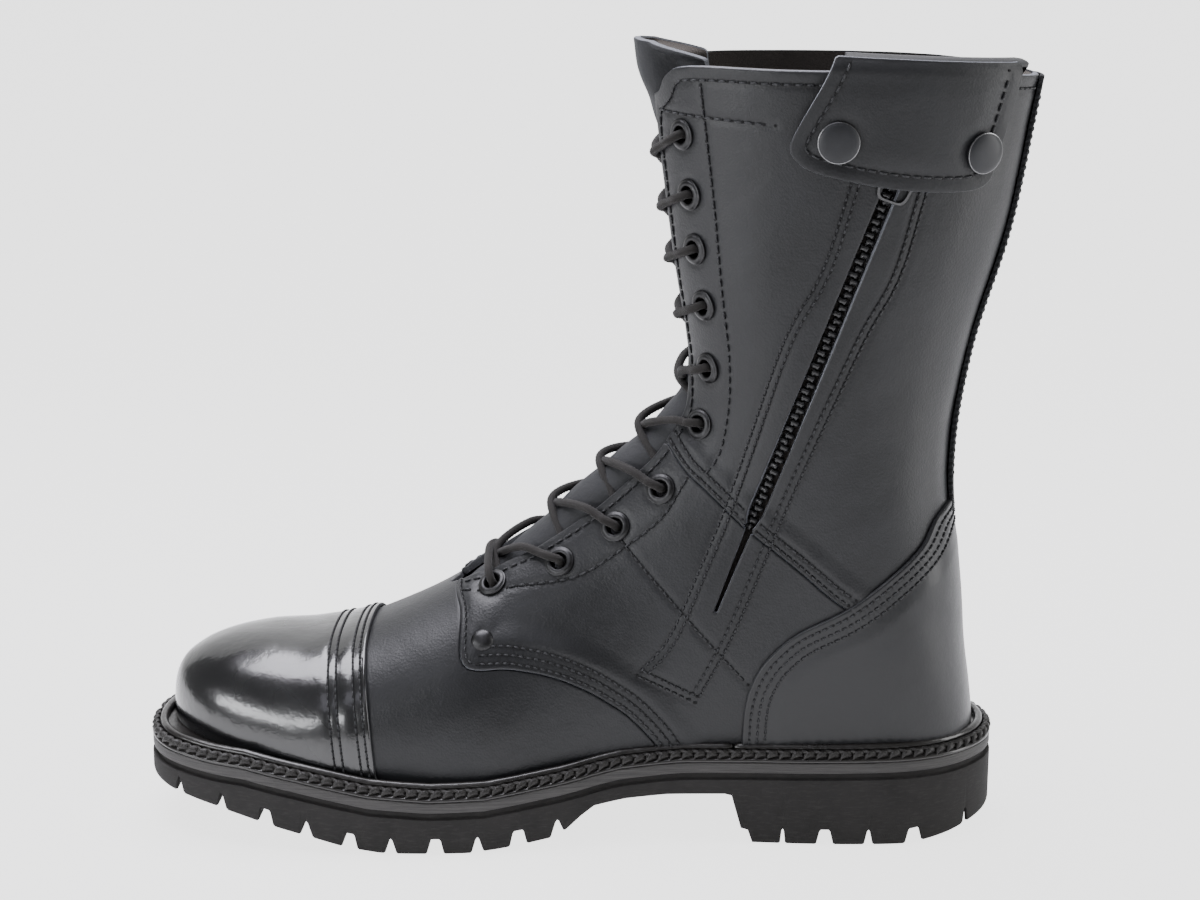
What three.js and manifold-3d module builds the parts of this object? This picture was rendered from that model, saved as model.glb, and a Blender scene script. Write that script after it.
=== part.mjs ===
// Black lace-up duty boot with a side zip, a snap-down flap over the zip and a lugged welted sole.
// Right boot. Millimetres, +Z up, toe towards -X, inner (medial) side towards -Y.
// The origin is the centre of the heel tread, on the ground.
import * as THREE from "three";
import Module from "manifold-3d";

const wasm = await Module();
wasm.setup();

// ---------------------------------------------------------------- driving sizes
const TOE_X = -259;
const HEEL_X = 55;
const TOP_OF_GRID = 292;
const CLEARANCE = 0.3;

// Layers are offsets from the last surface: negative is towards the foot.
const LINING = [-2.9, -1.5];
const STIFFENER = [-1.2, 0];
const LEATHER = [0.3, 2.3];
const OVERLAY = [2.6, 4.1];
const FLAP = [5.9, 7.6];
const FLAP_BASE = [-5.6, -4.2];
const FOLD_TOP = 283.6;

const WELT_THICK = 3.4;
const MIDSOLE_THICK = 4.2;
const GROOVE_THICK = 2.4;
const GROOVE_INSET = 1.6;
const UPPER_SUNK = 1.7;
const LUG_DEPTH = 5.6;
const CENTRE_RIB = 13;
// Gaps between lugs: x of the centre and half width at the tread, forefoot then heel.
const LUG_GAPS = [
  [-104.3, 2.4], [-118.1, 3.2], [-132.7, 2.2], [-147.8, 3.2], [-163.9, 2.2], [-178.8, 3],
  [-194.6, 2.4], [-209.7, 3], [-226.5, 2], [-243.5, 1.8],
  [-22.8, 1.1], [-7.5, 3.2], [8.4, 1.7], [25, 3.3], [44.5, 1.1],
];
const NARROW_GAP = 2.5;

const EYELET_HOLE = 3.5;
const EYELET_FLANGE = 5.2;
const EYELET_BORE = 2.7;
const LACE_RADIUS = 1.45;
const LACE_OVER = 5.2;
const LACE_UNDER = -2.7;

const SNAP_CAP = 7.1;
const SNAP_FRONT = [-9.3, 256.9];
const SNAP_REAR = [36.3, 252.5];
const RIVET_AT = [-131.8, 73.2];

// The zip runs straight up the inner side from its bottom stop to the collar.
const ZIP_BOTTOM = [-36.5, 118];
const ZIP_TOP = [24, 279];
const ZIP_END_OF_CUT = [-51.5, 88];
const SLIT_HALF = 2.7;
const TAPE_HALF = 11;
const SLIDER_AT = 0.895;
const PULL_HALF = 4.6;
const PULL_LONG = 28;
const SLIDER_LOWEST = 0.2;

// ---------------------------------------------------------------- the last surface
// One row per section, toe to collar: front point x z, back (or virtual bottom) point x z,
// half width, sideways shift, fraction of the depth where it is widest, front and back roundness.
const TOE_CENTRE = [-175, 36];
const TOE_LENGTH = 73.5;
const TOE_HEIGHT = 29.5;
const TOE_UNDER = 32;
const TOE_PROFILE = 3.4;
const TOE_PLAN = 2.1;
const TOE_ANGLES = [0, 14, 28, 42, 56, 72];
const SECTIONS = [
  [-175, 70.6, -170, 4, 43, -1.5, 0.56, 2.3, 2.3],
  [-145, 85, -133, 0, 45, 0.5, 0.62, 2.2, 2.3],
  [-120, 104, -98, 2, 40.5, 2.5, 0.62, 2.0, 2.4],
  [-93.5, 126.5, -60, 5, 35, 2, 0.6, 2.05, 2.5],
  [-74, 145, -10, 8, 34, 1, 0.55, 2.2, 2.5],
  [-62, 159, 39.5, 20, 34, 0, 0.5, 2.3, 2.4],
  [-58.5, 173, 38.8, 75, 35, 0, 0.48, 2.3, 2.2],
  [-59.5, 188, 33.5, 133, 36.5, 0, 0.47, 2.2, 2.1],
  [-63.5, 210, 38.5, 178, 38.5, 0, 0.46, 2.1, 2.1],
  [-67.5, 236, 50.5, 222, 41, 0, 0.46, 2, 2.1],
  [-70.5, 262, 57.5, 262, 43.5, 0, 0.46, 2, 2.1],
  [-73.5, TOP_OF_GRID, 62.5, TOP_OF_GRID, 46, 0, 0.46, 2, 2.1],
];
const ROWS_PER_GAP = [2, 2, 2, 2, 2, 2, 2, 1, 1, 1, 1];
const AROUND = 18;

function power(value, exponent) {
  return Math.sign(value) * Math.abs(value) ** exponent;
}

// A toe row: the sections shrink to a point at the tip like a rounded quarter dome.
function toeRow(angle) {
  const first = SECTIONS[0];
  const reach = Math.cos((angle * Math.PI) / 180);
  const rise = (1 - reach ** TOE_PROFILE) ** (1 / TOE_PROFILE);
  const spread = (1 - reach ** TOE_PLAN) ** (1 / TOE_PLAN);
  const x = TOE_CENTRE[0] - TOE_LENGTH * reach;
  const top = TOE_CENTRE[1] + TOE_HEIGHT * rise;
  const bottom = TOE_CENTRE[1] - TOE_UNDER * rise;
  return [x, top, x + 5 * rise, bottom, first[4] * spread, first[5], first[6], first[7], first[8]];
}

const STATIONS = [...TOE_ANGLES.map(toeRow), ...SECTIONS];
const TOE_ROWS = TOE_ANGLES.length;

function catmull(a, b, c, d, t) {
  const slopeB = (c - a) / 2;
  const slopeC = (d - b) / 2;
  const t2 = t * t;
  const t3 = t2 * t;
  const near = (2 * t3 - 3 * t2 + 1) * b + (t3 - 2 * t2 + t) * slopeB;
  return near + (3 * t2 - 2 * t3) * c + (t3 - t2) * slopeC;
}

// Section numbers are real-valued: 0 is the toe row next to the vamp, negative runs to the toe tip.
function stationAt(v) {
  const place = v + TOE_ROWS;
  const last = STATIONS.length - 1;
  const base = Math.max(0, Math.min(last - 1, Math.floor(place)));
  const t = place - base;
  const row = (k) => STATIONS[Math.max(0, Math.min(last, base + k))];
  return STATIONS[0].map((_, i) => catmull(row(-1)[i], row(0)[i], row(1)[i], row(2)[i], t));
}

// angle 0 is the front ridge, negative angles are the inner side, 180 degrees is the back.
function onSection(s, angle) {
  const turn = Math.abs(angle);
  const front = turn <= Math.PI / 2;
  const exponent = 2 / (front ? s[7] : s[8]);
  const along = front
    ? s[6] * (1 - power(Math.cos(turn), exponent))
    : s[6] - (1 - s[6]) * power(Math.cos(turn), exponent);
  const aside = Math.sign(angle) * s[4] * Math.abs(Math.sin(turn)) ** exponent;
  return new THREE.Vector3(s[0] + (s[2] - s[0]) * along, s[5] + aside, s[1] + (s[3] - s[1]) * along);
}

const NUDGE = 0.02;

function skin(v, angle, offset) {
  const here = onSection(stationAt(v), angle);
  const safe = Math.max(v, NUDGE - TOE_ROWS);
  const up = onSection(stationAt(safe + NUDGE), angle).sub(onSection(stationAt(safe - NUDGE), angle));
  const section = stationAt(safe);
  const around = onSection(section, angle + NUDGE).sub(onSection(section, angle - NUDGE));
  const normal = up.cross(around).normalize();
  return here.addScaledVector(normal, offset);
}

// A point at a distance measured round the section from the front ridge.
function atArc(v, distance, offset) {
  const section = stationAt(v);
  const step = 0.02 * Math.sign(distance || 1);
  let angle = 0;
  let gone = 0;
  let from = onSection(section, 0);
  while (gone < Math.abs(distance)) {
    const to = onSection(section, angle + step);
    gone += to.distanceTo(from);
    from = to;
    angle += step;
  }
  return skin(v, angle, offset);
}

function normalAtArc(v, distance) {
  return atArc(v, distance, 1).sub(atArc(v, distance, 0)).normalize();
}

// The section number and angle of the place on one side that shows at (x, z) from the side.
function fromSide(x, z, side) {
  let best = { miss: Infinity };
  const look = (v0, v1, a0, a1, n) => {
    for (let i = 0; i <= n; i += 1) {
      for (let j = 0; j <= n; j += 1) {
        const v = v0 + ((v1 - v0) * i) / n;
        const angle = side * (a0 + ((a1 - a0) * j) / n);
        const p = onSection(stationAt(v), angle);
        const miss = Math.hypot(p.x - x, p.z - z);
        if (miss < best.miss) best = { miss, v, angle };
      }
    }
  };
  look(-4, SECTIONS.length - 1, 0.02, Math.PI - 0.02, 60);
  for (let reach = 0.3; reach > 0.0005; reach /= 3) {
    const turn = Math.abs(best.angle);
    look(best.v - reach, best.v + reach, Math.max(0, turn - reach), Math.min(Math.PI, turn + reach), 6);
  }
  return best;
}

// ---------------------------------------------------------------- solids
function solid(points, faces) {
  const vertProperties = new Float32Array(points.flatMap((p) => [p.x, p.y, p.z]));
  const mesh = new wasm.Mesh({ numProp: 3, vertProperties, triVerts: new Uint32Array(faces.flat()) });
  const made = new wasm.Manifold(mesh);
  return made.volume() < 0 ? flipped(points, faces) : made;
}

function flipped(points, faces) {
  return solid(points, faces.map(([a, b, c]) => [a, c, b]));
}

// Rings of equal length joined one after another, closed into a loop or with flat ends.
function loft(rings, loop = false) {
  const points = rings.flat();
  const n = rings[0].length;
  const faces = [];
  const joins = loop ? rings.length : rings.length - 1;
  for (let r = 0; r < joins; r += 1) {
    const next = ((r + 1) % rings.length) * n;
    for (let k = 0; k < n; k += 1) {
      const a = r * n + k;
      const b = r * n + ((k + 1) % n);
      const c = next + ((k + 1) % n);
      faces.push([a, b, c], [a, c, next + k]);
    }
  }
  if (loop) return solid(points, faces);
  const end = (rings.length - 1) * n;
  for (let k = 1; k + 1 < n; k += 1) {
    faces.push([0, k + 1, k], [end, end + k, end + k + 1]);
  }
  return solid(points, faces);
}

function rowNumbers() {
  const rows = [];
  for (let k = 1; k <= TOE_ROWS; k += 1) rows.push(k - TOE_ROWS);
  ROWS_PER_GAP.forEach((count, gap) => {
    for (let k = 1; k <= count; k += 1) rows.push(gap + k / count);
  });
  return rows;
}

// The whole boot surface as a cup between two offsets, open at the collar.
function cup(inner, outer) {
  const rows = rowNumbers();
  const points = [];
  const sheet = (offset) => {
    const tip = points.length;
    points.push(skin(-TOE_ROWS, Math.PI / 2, 0).setY(SECTIONS[0][5]).add(new THREE.Vector3(-offset, 0, 0)));
    rows.forEach((v) => {
      for (let k = 0; k < AROUND; k += 1) {
        points.push(skin(v, (k / AROUND) * 2 * Math.PI - Math.PI, offset));
      }
    });
    return tip;
  };
  const faces = [];
  const skinFaces = (tip, flip) => {
    const add = (a, b, c) => faces.push(flip ? [a, c, b] : [a, b, c]);
    for (let k = 0; k < AROUND; k += 1) {
      const next = (k + 1) % AROUND;
      add(tip, tip + 1 + k, tip + 1 + next);
      for (let r = 0; r + 1 < rows.length; r += 1) {
        const a = tip + 1 + r * AROUND;
        add(a + k, a + AROUND + k, a + AROUND + next);
        add(a + k, a + AROUND + next, a + next);
      }
    }
  };
  const outerTip = sheet(outer);
  const innerTip = inner === null ? -1 : sheet(inner);
  skinFaces(outerTip, false);
  const rim = outerTip + 1 + (rows.length - 1) * AROUND;
  if (inner === null) {
    for (let k = 1; k + 1 < AROUND; k += 1) faces.push([rim, rim + k + 1, rim + k]);
    return solid(points, faces);
  }
  skinFaces(innerTip, true);
  const innerRim = innerTip + 1 + (rows.length - 1) * AROUND;
  for (let k = 0; k < AROUND; k += 1) {
    const next = (k + 1) % AROUND;
    faces.push([rim + k, innerRim + next, rim + next], [rim + k, innerRim + k, innerRim + next]);
  }
  return solid(points, faces);
}

// A patch over the front of the boot; edge(v) gives its half width, offsets(v, share) its two depths.
function frontPatch(vs, edge, offsets, across) {
  return loft(
    vs.map((v) => {
      const outer = [];
      const inner = [];
      for (let k = 0; k <= across; k += 1) {
        const share = (2 * k) / across - 1;
        const [deep, high] = offsets(v, share);
        outer.push(atArc(v, share * edge(v), high));
        inner.unshift(atArc(v, share * edge(v), deep));
      }
      return [...outer, ...inner];
    }),
  );
}

// A side-view outline swept sideways from y0 to y1.
function prism(outline, y0, y1) {
  const drawn = outline.map(([x, z]) => new THREE.Vector2(x, z));
  const flat = THREE.ShapeUtils.area(drawn) > 0 ? drawn : drawn.reverse();
  const n = flat.length;
  const points = [y0, y1].flatMap((y) => flat.map((p) => new THREE.Vector3(p.x, y, p.y)));
  const faces = [];
  THREE.ShapeUtils.triangulateShape(flat, []).forEach(([a, b, c]) => {
    faces.push([a, b, c], [a + n, c + n, b + n]);
  });
  for (let k = 0; k < n; k += 1) {
    const next = (k + 1) % n;
    faces.push([k, k + n, next + n], [k, next + n, next]);
  }
  return solid(points, faces);
}

function curve(points, perGap) {
  const spline = new THREE.SplineCurve(points.map(([x, z]) => new THREE.Vector2(x, z)));
  return spline.getPoints((points.length - 1) * perGap).map((p) => [p.x, p.y]);
}

// A thin blade along a side-view line, used to part two panels with a seam gap.
function blade(line, y0, y1) {
  const half = CLEARANCE / 2;
  const side = (sign) =>
    line.map(([x, z], k) => {
      const before = line[Math.max(0, k - 1)];
      const after = line[Math.min(line.length - 1, k + 1)];
      const reach = (sign * half) / Math.hypot(after[0] - before[0], after[1] - before[1]);
      return [x - reach * (after[1] - before[1]), z + reach * (after[0] - before[0])];
    });
  return prism([...side(1), ...side(-1).reverse()], y0, y1);
}

function disc(radius, from, to, sides, frame) {
  return turned([[0, from], [radius, from], [radius, to], [0, to]], sides, frame);
}

// A profile of [radius, height] turned about an axis; the first and last points close it.
function turned(profile, sides, frame) {
  const onAxis = profile[0][0] === 0;
  const rings = onAxis ? profile.slice(1, -1) : profile;
  const points = [];
  rings.forEach(([radius, height]) => {
    for (let k = 0; k < sides; k += 1) {
      const a = (k / sides) * 2 * Math.PI;
      points.push(new THREE.Vector3(radius * Math.cos(a), radius * Math.sin(a), height).applyMatrix4(frame));
    }
  });
  const faces = [];
  const joins = onAxis ? rings.length - 1 : rings.length;
  for (let r = 0; r < joins; r += 1) {
    const a = r * sides;
    const b = ((r + 1) % rings.length) * sides;
    for (let k = 0; k < sides; k += 1) {
      const next = (k + 1) % sides;
      faces.push([a + k, a + next, b + next], [a + k, b + next, b + k]);
    }
  }
  if (onAxis) {
    const top = (rings.length - 1) * sides;
    for (let k = 1; k + 1 < sides; k += 1) {
      faces.push([0, k + 1, k], [top, top + k, top + k + 1]);
    }
  }
  return solid(points, faces);
}

// A frame standing on the boot surface with its Z along the outward normal and X up the boot.
function standing(v, angle) {
  const origin = skin(v, angle, 0);
  const z = skin(v, angle, 1).sub(origin).normalize();
  const up = skin(v + 0.05, angle, 0).sub(origin);
  const x = up.addScaledVector(z, -up.dot(z)).normalize();
  return new THREE.Matrix4().makeBasis(x, z.clone().cross(x), z).setPosition(origin);
}

function standingAt([x, z], side) {
  const place = fromSide(x, z, side);
  return standing(place.v, place.angle);
}

// A tube of equal rings along a smooth path.
function tube(path, radius, sides, closed) {
  const rings = [];
  const n = path.length;
  let across = new THREE.Vector3(0.31, 0.17, 0.93);
  path.forEach((p, k) => {
    const before = closed ? path[(k + n - 1) % n] : path[Math.max(0, k - 1)];
    const after = closed ? path[(k + 1) % n] : path[Math.min(n - 1, k + 1)];
    const along = after.clone().sub(before).normalize();
    across = across.clone().addScaledVector(along, -across.dot(along)).normalize();
    const other = along.clone().cross(across);
    const ring = [];
    for (let j = 0; j < sides; j += 1) {
      const a = (j / sides) * 2 * Math.PI;
      ring.push(
        p.clone().addScaledVector(across, radius * Math.cos(a)).addScaledVector(other, radius * Math.sin(a)),
      );
    }
    rings.push(ring);
  });
  return rings;
}

// ---------------------------------------------------------------- the sole
// Side-view lines: the feather line where the upper meets the welt, and the tread.
const FEATHER = [
  [-262, 36], [-230, 33.5], [-218, 33], [-198, 29.5], [-172, 24.5], [-150, 23], [-130, 23.5],
  [-104, 27.5], [-82, 32], [-60, 34], [0, 35], [60, 36],
];
const TREAD = [
  [-262, 19], [-250, 17], [-240, 15.6], [-229, 13.8], [-218, 11.3], [-205, 8], [-192, 5], [-180, 1.9],
  [-168, 0.2], [-162, 0], [-136, 0], [-125, 1.2], [-115, 2.6], [-106, 4.2], [-101, 7], [-96, 11.5],
  [-91, 15], [-80, 17], [-65, 18.2], [-44, 18.6], [-41.5, 18], [-38, 5.5], [-35.5, 4.8], [-33.8, 0],
  [24, 0], [38, 2.2], [50, 4.6], [60, 7],
];
// Station x, inner edge y, outer edge y of the sole seen from above.
const SOLE_PLAN = [
  [-259, -8, -8], [-257.6, -20, 5], [-254, -29, 14], [-248, -36.5, 22], [-239, -42.5, 29.5],
  [-227, -47.5, 36], [-211, -51.5, 42.5], [-192, -54, 48], [-170, -55, 52.5], [-161, -54.9, 53.6],
  [-148, -54.5, 55], [-137, -53.4, 55.2], [-128, -52, 55], [-110, -48, 53], [-96, -44.5, 50], [-92, -43, 49],
  [-84, -41, 47.5],
  [-66, -38.5, 44], [-45, -38, 41.5], [-38, -38, 41], [-34, -38, 41], [-15, -38.5, 40],
  [5, -38, 38.5], [22, -36, 36.5], [36, -30.5, 31], [46, -22, 22.5], [52.5, -12, 12.5], [55, 0, 0],
];

function lineAt(line, x) {
  const k = Math.max(1, line.findIndex((p) => p[0] >= x));
  const [x0, z0] = line[k - 1];
  const [x1, z1] = line[k];
  return z0 + ((z1 - z0) * (x - x0)) / (x1 - x0);
}

const feather = (x) => lineAt(FEATHER, x);
const tread = (x) => lineAt(TREAD, x);

// A slab with the sole's outline, drawn in by inset, between two side-view lines.
function slab(top, bottom, inset, plan = SOLE_PLAN) {
  const middle = (HEEL_X + TOE_X) / 2;
  const shrink = 1 - inset / (HEEL_X - middle);
  const rings = plan.map(([x, inner, outer], k) => {
    const here = middle + (x - middle) * shrink;
    const before = plan[Math.max(0, k - 1)];
    const after = plan[Math.min(plan.length - 1, k + 1)];
    const slope = (a, b) => Math.min(2.2, Math.hypot(1, (b - a) / (after[0] - before[0])));
    const centre = (inner + outer) / 2;
    const half = Math.max(0.4, (outer - inner) / 2 - inset * slope(before[2], after[2]));
    return [
      new THREE.Vector3(here, centre - half, top(here)),
      new THREE.Vector3(here, centre + half, top(here)),
      new THREE.Vector3(here, centre + half, bottom(here)),
      new THREE.Vector3(here, centre - half, bottom(here)),
    ];
  });
  return loft(rings);
}

const weltBottom = (x) => feather(x) - WELT_THICK;
const midsoleBottom = (x) => weltBottom(x) - MIDSOLE_THICK;
const grooveBottom = (x) => midsoleBottom(x) - GROOVE_THICK;
const upperBottom = (x) => feather(x) - UPPER_SUNK;

// Everything below a side-view line.
function below(line, lift) {
  const edge = [];
  for (let x = -275; x <= 85; x += 12) edge.push([x, line(x) + lift]);
  return prism([[-275, -60], ...edge, [85, -60]], -90, 90);
}

// ---------------------------------------------------------------- seam lines, side view
const CAP_EDGE = [[-176, 100], [-175.5, 76], [-174, 62], [-171.5, 43], [-168, 10]];
const VAMP_SEAM = curve(
  [
    [-146, 130], [-144.5, 92], [-140.5, 82], [-138.3, 66.2], [-122, 65], [-108, 62.5], [-97, 58.5],
    [-88, 53.5], [-78, 46], [-67, 32], [-61, 12],
  ],
  2,
);
const SHAFT_SEAM = curve(
  [[-76, 160], [-62, 139], [-52, 130], [-38, 118], [-20, 104], [-3, 90], [20, 76], [70, 62]],
  2,
);
const COUNTER_SEAM = curve(
  [
    [-38.5, 4], [-38, 40], [-36.5, 55], [-32, 66], [-25.5, 74], [-17.5, 80.5], [-2, 89], [12, 99.5],
    [24, 110], [33, 122], [60, 128],
  ],
  2,
);
const COLLAR = [
  [-95, 262], [-72.5, 268], [-68, 275.5], [-60, 279.5], [-30, 279.5], [30, 278.5], [66, 275], [80, 274],
];
const FLAP_OUTLINE = [
  [-10, 283.6], [-14.5, 276], [-19.5, 267], [-24, 258.5], [-25.3, 254], [-23.4, 250], [-17, 246], [0, 242],
  [13.7, 239.8], [27, 238.7], [37.5, 239], [42.5, 241.5], [45, 246.5], [48.3, 259.4], [54.5, 283.6],
];
const WIDE = 90;

function zipPoint(share) {
  return [
    ZIP_BOTTOM[0] + (ZIP_TOP[0] - ZIP_BOTTOM[0]) * share,
    ZIP_BOTTOM[1] + (ZIP_TOP[1] - ZIP_BOTTOM[1]) * share,
  ];
}

// The zip's strip between two distances either side of its line; share runs bottom to collar.
function zipStrip(from, to, low, high) {
  const run = Math.hypot(ZIP_TOP[0] - ZIP_BOTTOM[0], ZIP_TOP[1] - ZIP_BOTTOM[1]);
  const across = [(ZIP_TOP[1] - ZIP_BOTTOM[1]) / run, -(ZIP_TOP[0] - ZIP_BOTTOM[0]) / run];
  const corner = (share, side) => {
    const [x, z] = zipPoint(share);
    return [x + across[0] * side, z + across[1] * side];
  };
  return [corner(low, from), corner(high, from), corner(high, to), corner(low, to)];
}

// ---------------------------------------------------------------- throat
const THROAT_VS = [1.02, 1.2, 1.5, 2, 3, 3.5, 4, 4.5, 5, 6, 7, 8, 9, 10, 11];

const THROAT = [
  [0.9, 2], [1.2, 8], [1.6, 13], [2.2, 17], [3, 18.5], [4, 18], [5, 14.5], [6, 11], [7, 9.5], [12, 9],
];

function throatHalf(v) {
  return lineAt(THROAT, v);
}

const EYELET_PLACES = [
  [1.6, 20.5], [2.46, 28.5], [3.2, 30], [3.95, 30], [5.2, 24.5], [6.52, 26], [7.6, 27.5],
  [8.34, 26.5], [9.02, 26.5], [9.79, 26.3],
];

const group = new THREE.Group();

const LOOKS = {
  leather: new THREE.MeshStandardMaterial({ color: 0x1a1b1d, roughness: 0.45 }),
  rubber: new THREE.MeshStandardMaterial({ color: 0x201d1c, roughness: 0.85 }),
  fabric: new THREE.MeshStandardMaterial({ color: 0x151413, roughness: 0.95 }),
  metal: new THREE.MeshStandardMaterial({ color: 0x44464c, roughness: 0.4, metalness: 0.9 }),
  cork: new THREE.MeshStandardMaterial({ color: 0x6b4a2c, roughness: 0.9 }),
};

// The nearest closed body to a marker point, when a cut leaves more than one.
function bodyNear(made, marker) {
  const bodies = made.decompose().filter((body) => body.volume() > 1);
  const miss = (body) => {
    const { vertProperties } = body.getMesh();
    let best = Infinity;
    for (let k = 0; k < vertProperties.length; k += 3) {
      const away = Math.hypot(
        vertProperties[k] - marker[0],
        vertProperties[k + 1] - marker[1],
        vertProperties[k + 2] - marker[2],
      );
      best = Math.min(best, away);
    }
    return best;
  };
  return bodies.map((body) => ({ body, away: miss(body) })).sort((a, b) => a.away - b.away)[0].body;
}

function place(name, made, look) {
  const whole = made.decompose().sort((a, b) => b.volume() - a.volume())[0];
  const { vertProperties, triVerts } = whole.getMesh();
  const shape = new THREE.BufferGeometry();
  shape.setAttribute("position", new THREE.BufferAttribute(new Float32Array(vertProperties), 3));
  shape.setIndex(new THREE.BufferAttribute(new Uint32Array(triVerts), 1));
  const mesh = new THREE.Mesh(shape, LOOKS[look]);
  mesh.name = name;
  group.add(mesh);
}

// ---------------------------------------------------------------- cutters
const throatCut = frontPatch(THROAT_VS, throatHalf, () => [-24, 24], 4);
const LINING_VS = [1.05, 1.5, 2, 3, 4, 5, 6, 8, 10, 11];
const LINING_BACK = 23;
const liningThroatCut = frontPatch(LINING_VS, (v) => throatHalf(v) + LINING_BACK, () => [-24, 24], 4);
const slitCut = prism([...zipStrip(-SLIT_HALF, SLIT_HALF, 0, 1.3), ZIP_END_OF_CUT], -WIDE, -5);
const collarCut = prism([...COLLAR, [80, 320], [-95, 320]], -WIDE, WIDE);
const upperFloor = below(upperBottom, 0);

function eyeletHoles(side) {
  return EYELET_PLACES.map(([v, arc]) => {
    const origin = atArc(v, side * arc, 0);
    const z = normalAtArc(v, side * arc);
    const x = new THREE.Vector3(0, 1, 0).addScaledVector(z, -z.y).normalize();
    return new THREE.Matrix4().makeBasis(x, z.clone().cross(x), z).setPosition(origin);
  });
}

const EYELET_FRAMES = { medial: eyeletHoles(-1), lateral: eyeletHoles(1) };
const holeCut = wasm.Manifold.union(
  [...EYELET_FRAMES.medial, ...EYELET_FRAMES.lateral].map((frame) => disc(EYELET_HOLE, -9, 9, 8, frame)),
);
const rivetFrames = { medial: standingAt(RIVET_AT, -1), lateral: standingAt(RIVET_AT, 1) };
const rivetCut = wasm.Manifold.union(Object.values(rivetFrames).map((f) => disc(1.6, -1, 5, 6, f)));

// ---------------------------------------------------------------- upper
function buildLeather() {
  const shell = cup(...LEATHER)
    .subtract(upperFloor)
    .subtract(throatCut)
    .subtract(slitCut)
    .subtract(collarCut)
    .subtract(holeCut)
    .subtract(rivetCut)
    .subtract(blade(VAMP_SEAM, -WIDE, WIDE))
    .subtract(blade(SHAFT_SEAM, -WIDE, WIDE))
    .subtract(prism([[0, -20], [90, -20], [90, 320], [0, 320]], -CLEARANCE / 2, CLEARANCE / 2))
    .subtract(prism([[-144.6, 75], [-100, 75], [-100, 140], [-144.6, 140]], -CLEARANCE / 2, CLEARANCE / 2));
  place("vamp", bodyNear(shell, [-200, 0, 75]), "leather");
  place("quarter_medial", bodyNear(shell, [-80, -38, 70]), "leather");
  place("quarter_lateral", bodyNear(shell, [-80, 40, 70]), "leather");
  place("shaft_medial_front", bodyNear(shell, [-45, -35, 220]), "leather");
  place("shaft_medial_rear", bodyNear(shell, [30, -35, 200]), "leather");
  place("shaft_lateral", bodyNear(shell, [0, 45, 220]), "leather");
}

function buildOverlays() {
  const shell = cup(...OVERLAY).subtract(upperFloor).subtract(collarCut);
  const capRegion = prism([[-290, -20], [-290, 100], ...CAP_EDGE], -WIDE, WIDE);
  place("toe_cap", shell.intersect(capRegion), "leather");
  const counterRegion = prism([...COUNTER_SEAM, [90, 128], [90, -20], [-41, -20]], -WIDE, WIDE);
  place("heel_counter", shell.intersect(counterRegion), "leather");
  const strapRegion = prism([[20, 130], [70, 130], [90, 278], [20, 278]], -9, 9);
  place("back_strap", shell.intersect(strapRegion), "fabric");
}

function buildLining() {
  const shell = cup(...LINING)
    .subtract(below(feather, 0.4))
    .subtract(liningThroatCut)
    .subtract(slitCut)
    .subtract(collarCut);
  place("lining", shell, "fabric");
}

function buildStiffeners() {
  const shell = cup(...STIFFENER)
    .subtract(upperFloor)
    .subtract(collarCut)
    .subtract(holeCut)
    .subtract(throatCut);
  const toe = prism([[-290, -20], [-290, 120], [-184, 120], [-180, -20]], -WIDE, WIDE);
  place("toe_puff", shell.intersect(toe), "fabric");
  const heel = prism([[-22, -20], [-14, 68], [30, 92], [90, 94], [90, -20]], -WIDE, WIDE);
  place("counter_stiffener", shell.intersect(heel), "fabric");
  const tape = (from, to) => prism(zipStrip(from, to, -0.03, 1), -WIDE, -5);
  place("zip_tape_front", shell.intersect(tape(-TAPE_HALF, -2.6)), "fabric");
  place("zip_tape_rear", shell.intersect(tape(2.6, TAPE_HALF)), "fabric");
  const coilShell = cup(-1.2, 0.9);
  place("zip_teeth_front", coilShell.intersect(prism(zipStrip(-2.2, -0.2, 0, 0.985), -WIDE, -5)), "fabric");
  place("zip_teeth_rear", coilShell.intersect(prism(zipStrip(0.2, 2.2, 0, 0.985), -WIDE, -5)), "fabric");
}

// ---------------------------------------------------------------- tongue and lace
function tongueOffsets(v, share) {
  const edge = -5.8 - 0.8 * Math.abs(share) * THREE.MathUtils.smoothstep(v, 1.6, 3);
  return [edge - 2.4, edge];
}

function buildTongue() {
  const vs = [1.05, 1.5, 2, 2.5, 3, 3.5, 4, 4.5, 5, 5.5, 6, 7, 8, 9.5, 10.8];
  const half = (v) => 20 + 12 * THREE.MathUtils.smoothstep(v, 0.9, 2.5);
  place("tongue", frontPatch(vs, half, tongueOffsets, 6), "leather");
}

function lacePoint([v, arc], toward, offset, side) {
  return atArc(v, side * (arc - toward), offset);
}

// A point part of the way from an eyelet to the throat's edge, leaning towards another eyelet.
function throatPoint(near, far, lean, share, offset, side) {
  const v = near[0] + (far[0] - near[0]) * lean;
  const arc = near[1] + (throatHalf(v) - 1 - near[1]) * share;
  return atArc(v, side * arc, offset);
}

// One strand from inside an eyelet, under its facing, over the throat and down into the next one opposite.
function crossing(from, to, side, deep) {
  return [
    lacePoint(from, 0, 0, side),
    lacePoint(from, 2.2, LACE_UNDER, side),
    throatPoint(from, to, 0.1, 0.5, LACE_UNDER, side),
    throatPoint(from, to, 0.2, 1, LACE_UNDER, side),
    atArc((from[0] + to[0]) / 2, 0, deep),
    throatPoint(to, from, 0.3, 1, LACE_OVER - 0.4, -side),
    throatPoint(to, from, 0.15, 0.5, LACE_OVER, -side),
    lacePoint(to, 2.2, LACE_OVER, -side),
    lacePoint(to, 0, 2.6, -side),
  ];
}

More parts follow.
